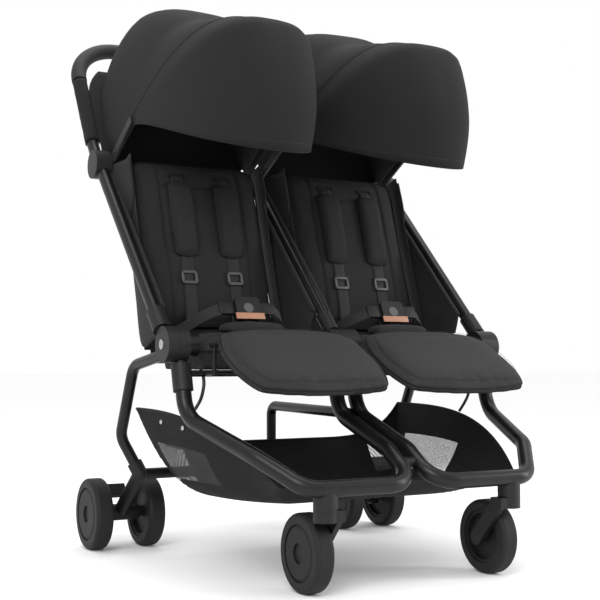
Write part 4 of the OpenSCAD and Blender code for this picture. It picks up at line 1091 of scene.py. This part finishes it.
# %% [markdown]
# Each shoulder strap has a soft pad with a piped edge. Below it the webbing runs down through a square
# adjuster. Pads and webbing lie on the backrest and recline with it.

# %% Harness
SWELL, ADJUSTER_Y = 0.0035, -0.083
BARS = (
    (-0.017, 0.017, -0.097, -0.091), (-0.017, 0.017, -0.075, -0.069),
    (-0.017, -0.0118, -0.097, -0.069), (0.0118, 0.017, -0.097, -0.069),
)


def back_top(x, y):
    """The height of the backrest's front over its back plane."""
    u, v = 2 * x / BACK_W, 2 * y / BACK_LEN
    full = sqrt(max(0.0, (1 - u**4) * (1 - v**4)))
    return BACK_RIM + (BACK_THICK - BACK_RIM) * full + SWELL


def tape(name, points, across_way, width, thick, mat):
    """Flat webbing along a line of points."""
    upper, lower = [], []
    for k, p in enumerate(points):
        along = (points[min(k + 1, len(points) - 1)] - points[max(k - 1, 0)]).normalized()
        wide = (across_way - along * across_way.dot(along)).normalized()
        over = along.cross(wide) * thick / 2
        for i in range(5):
            spot = p + wide * width * (i / 4 - 0.5)
            upper.append(spot + over)
            lower.append(spot - over)
    return slab(name, upper, lower, 4, len(points) - 1, mat)


harness_parts = []
for side in (-1, 1):
    pad = cushion(
        "pad", (0.056, 0.166, 0.018, 0.006, 0.35, 0.02), seat_cloth,
        lambda p: 0.0035 if p.z > 0.004 else 0.0005, 0.003, 14, 28,
    )
    pad_edge = edge_reach(pad, 0.002, 0.009)
    press(pad, lambda p: 0.0016 * groove(from_edge(pad_edge, p) - 0.006, 0.003) if p.z > 0.008 else 0.0)
    row = [Vector((p.x, p.y, top_at(pad, p.x, p.y, 0.003))) for p in edge_line(pad_edge, 0, 0.0065)]
    sewn = stitches("pad stitches", [row])
    edge = piping(pad_edge, 0.0055, 0.0006, 0.0015)
    middle = side * STRAP_X
    move(Matrix.Translation((middle, 0.042, 0.0322)), pad, sewn, edge)
    downs = [0.137 - 0.0105 * k for k in range(31)]
    line = [Vector((middle, y, back_top(STRAP_X, y) + 0.0016)) for y in downs]
    harness_parts += [pad, sewn, edge, tape("web", line, ACROSS, 0.0252, 0.0022, webbing)]
    low = back_top(STRAP_X, ADJUSTER_Y) + 0.0022
    for x0, x1, y0, y1 in BARS:
        ends = (middle + x0, y0, low), (middle + x1, y1, low + 0.0045)
        harness_parts.append(block("bar", *ends, button_plastic, ease=0.0012))
move(back_frame, *harness_parts)
harness = join("shoulder straps right", harness_parts)
mount(harness, "back_{}", ["harness_{}"], pad_of())
print("harness faces", len(harness.data.polygons))

# %% [markdown]
# The buckle itself is a CAD solid. Around it come the crotch strap with its padded sleeve, a plain
# copper leather patch, the two tongues and the waist belts that run back to the corners of the seat.

# %% Crotch strap and belts
BUCKLE_UP = Vector((0, sin(radians(25)), cos(radians(25))))
buckle_frame = frame_at(Vector((SEAT_X, -0.093206, 0.4603)), ACROSS, BUCKLE_UP)
strap = block("strap", (-0.0127, -0.0305, -0.0013), (0.0127, -0.0003, 0.0013), webbing, ease=0.0005)
patch = block("patch", (-0.030, -0.0015, 0.0093), (0.030, 0.0115, 0.0111), copper_leather, ease=0.0006)
tongues = [
    block("tongue", (x0, 0.012, -0.004), (x1, 0.038, 0.004), moulding, ease=0.002)
    for x0, x1 in ((-0.058, -0.0262), (0.0262, 0.058))
]
move(buckle_frame, strap, patch, *tongues)

BELT = (
    (0.056, -0.0835, 0.4811), (0.082, -0.066, 0.468), (0.105, -0.034, 0.4475),
    (0.117, 0.0, 0.4345), (0.120, 0.020, 0.427),
)
BELT_WAY = Vector((0, 0.55, 0.83))
belts = []
for side in (-1, 1):
    corners = [Vector((SEAT_X + side * x, y, z)) for x, y, z in BELT]
    line = [through(corners, k / 24) for k in range(25)]
    belts.append(tape("belt", line, BELT_WAY, 0.025, 0.002, webbing))
strap = join("crotch strap and belts right", [strap, patch, *tongues, *belts])
mount(strap, "chassis", ["crotch_strap_{}"])

pad = cushion(
    "crotch pad right", (0.132, 0.046, 0.018, 0.008, 0.4, 0.02), seat_cloth,
    lambda p: 0.003 if p.z > 0.006 else 0.0006, 0.003, 20, 12,
)
move(Matrix.Translation((SEAT_X, -0.1055, 0.4385)), pad)
mount(pad, "chassis", (), pad_of())
print("belts", len(belts), "per seat")

# %% [markdown]
# The calf rest is a D-shaped box cushion on a board. A sleeve at its back turns on the rod in front of
# the seat. Two rows of piping edge the band around its rim.

# %% Calf rest
SLOPE = radians(30)
calf_frame = frame_at(CALF_ROD + CALF_X * ACROSS, -ACROSS, Vector((0, -cos(SLOPE), -sin(SLOPE))))
CALF_W, CALF_LEN = 0.298, 0.214


def calf_room(p):
    if p.z < 0.003:
        return 0.0004
    return 0.0055 if p.z > 0.011 and p.y > -0.06 else 0.0012


calf_form = (CALF_W, CALF_LEN, 0.024, 0.009, 0.55, 0)
calf = cushion("calf pad right", calf_form, calf_cloth, calf_room, 0.005)
calf_reach = edge_reach(calf, 0.002, 0.012)
press(calf, lambda p: 0.0022 * groove(from_edge(calf_reach, p) - 0.013, 0.005) if p.z > 0.008 else 0.0)
calf_edge = [piping(calf_reach, high, 0.001, 0.0017) for high in (0.0015, 0.009)]
seam_line = [(p.x, p.y) for p in edge_line(calf_reach, 0, 0.0145)]
calf_edge.append(stitches("calf stitches", [laid(calf, seam_line, 0.0001)], **LONG_STITCH))
move(Matrix.Translation((0, 0.079, 0.0073)), calf, *calf_edge)
board_ends = (-CALF_W / 4, 0, 0.002), (CALF_W / 4, CALF_LEN * 0.8, 0.0072)
board = block("board", *board_ends, calf_cloth, ease=0.001)
rod_sleeve = pipe("rod sleeve", -0.1204 * ACROSS, 0.0947 * ACROSS, 0.007, 0.0041, calf_cloth)
calf = join("calf pad right", [calf, board, rod_sleeve])
calf_trim = join("calf trim right", calf_edge)
move(calf_frame, calf, calf_trim)
mount(calf_trim, "calf_{}")
mount(calf, "calf_{}", ["calf_rest_{}"], pad_of())
print("calf rest faces", len(calf.data.polygons))

# %% [markdown]
# The basket is one tub of cloth for both seats. It flares to its rim and drops to the front. Its floor
# and front are plain cloth. The rear half of each side has a net window under a collar with two snaps,
# and the back has two more windows.

# %% Basket
BASKET_REAR, BASKET_LEN = 0.110794, 0.478
HALF_REAR, HALF_FRONT = 0.312, 0.246
RIM_MIDDLE, RIM_CORNER, RIM_FRONT = 0.217, 0.290, 0.178
FLOOR_REAR, FLOOR_RISE = 0.118, 0.020


def basket_at(u, w, cut):
    k = max(abs(u), abs(w)) ** 8
    ahead = (1 - w) / 2
    half = HALF_REAR + (HALF_FRONT - HALF_REAR) * ahead**3 - cut
    back = RIM_MIDDLE + (RIM_CORNER - RIM_MIDDLE) * abs(u) ** 6
    rim = back + (RIM_FRONT - back) * ahead**3
    low = FLOOR_REAR + FLOOR_RISE * ahead**2 + cut
    y = BASKET_REAR - BASKET_LEN / 2 + (BASKET_LEN / 2 - cut) * w * (0.78 + 0.22 * k)
    slack = 0.003 * noise.noise(Vector((u * 4, w * 3, 5))) * (1 - k) * k * 4
    return Vector((half * u * (0.93 + 0.07 * k) + slack * u, y + slack * w, low + (rim - low) * k))


BN, BM = 64, 56


def spread(i, n):
    return sin(pi / 2 * (-1 + 2 * i / n))


def basket_zone(index):
    u = spread(index % BN + 0.5, BN)
    w = spread(index // BN + 0.5, BM)
    side_window = abs(u) > abs(w) and -0.1 < w < 0.82 and 0.3 < abs(u) ** 8 < 0.74
    back_window = w > abs(u) and 0.7 < abs(u) < 0.93 and 0.3 < w**8 < 0.8
    return 1 if side_window or back_window else 0


def tub_at(i, j):
    return basket_at(spread(i, BN), spread(j, BM), HALF_THICK)


basket = cloth("basket tub", tub_at, BN, BM, [basket_cloth, net], zone=basket_zone)
rim_line = [tub_at(i, 0) for i in range(BN)] + [tub_at(BN, j) for j in range(BM)]
rim_line += [tub_at(BN - i, BM) for i in range(BN)] + [tub_at(0, BM - j) for j in range(BM)]
rim_tape = tube("rim tape", rim_line, 0.0028, binding, closed=True)


def collar_line(side, wall):
    u = side * wall**0.125
    return [basket_at(u, -0.12 + 0.94 * k / 60, 0.0) + side * 0.0006 * ACROSS for k in range(61)]


collars = [collar_line(side, wall) for side in (-1, 1) for wall in (0.27, 0.77)]
window_seams = stitches("window stitches", collars, **LONG_STITCH)
snap_places = [
    (basket_at(side * 0.9885, w, 0.0) + side * 0.0005 * ACROSS, (side, 0, 0.12))
    for side in (-1, 1)
    for w in (0.12, 0.52)
]
snaps = studs("snaps", snap_places, steel, 0.0055, 0.003)
basket_trim = join("basket trim", [rim_tape, window_seams, snaps])
for part in (basket, basket_trim):
    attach(part, "chassis")
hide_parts("basket")

# %% [markdown]
# A short cord on each side hangs the basket's rim from the seat. It leaves the seat's edge, bulges
# forward and comes back to the rim.

# %% Hanging cords
CORD = (
    (0.285, -0.140, 0.3672), (0.289, -0.158, 0.360), (0.293, -0.171, 0.341),
    (0.296, -0.166, 0.318), (0.299, -0.150, 0.300), (0.3025, -0.128, 0.282),
)
cord_points = [Vector(p) for p in CORD]
cord_line = [through(cord_points, k / 48) for k in range(49)]
for side, label in ((1, "right"), (-1, "left")):
    line = [Vector((side * p.x, p.y, p.z)) for p in cord_line]
    cord = tube("basket cord " + label, line, 0.003, cable_sheath, sides=10)
    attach(cord, "chassis")

# %% [markdown]
# Last, the finished box is written beside the box of the CAD model. Cloth may add a few millimetres.

# %% Sizes
final_box = [list(corner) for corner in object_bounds()]
for label, cad, seen in zip(("low", "high"), cad_box, final_box):
    print(label, [round(v, 4) for v in cad], [round(v, 4) for v in seen])
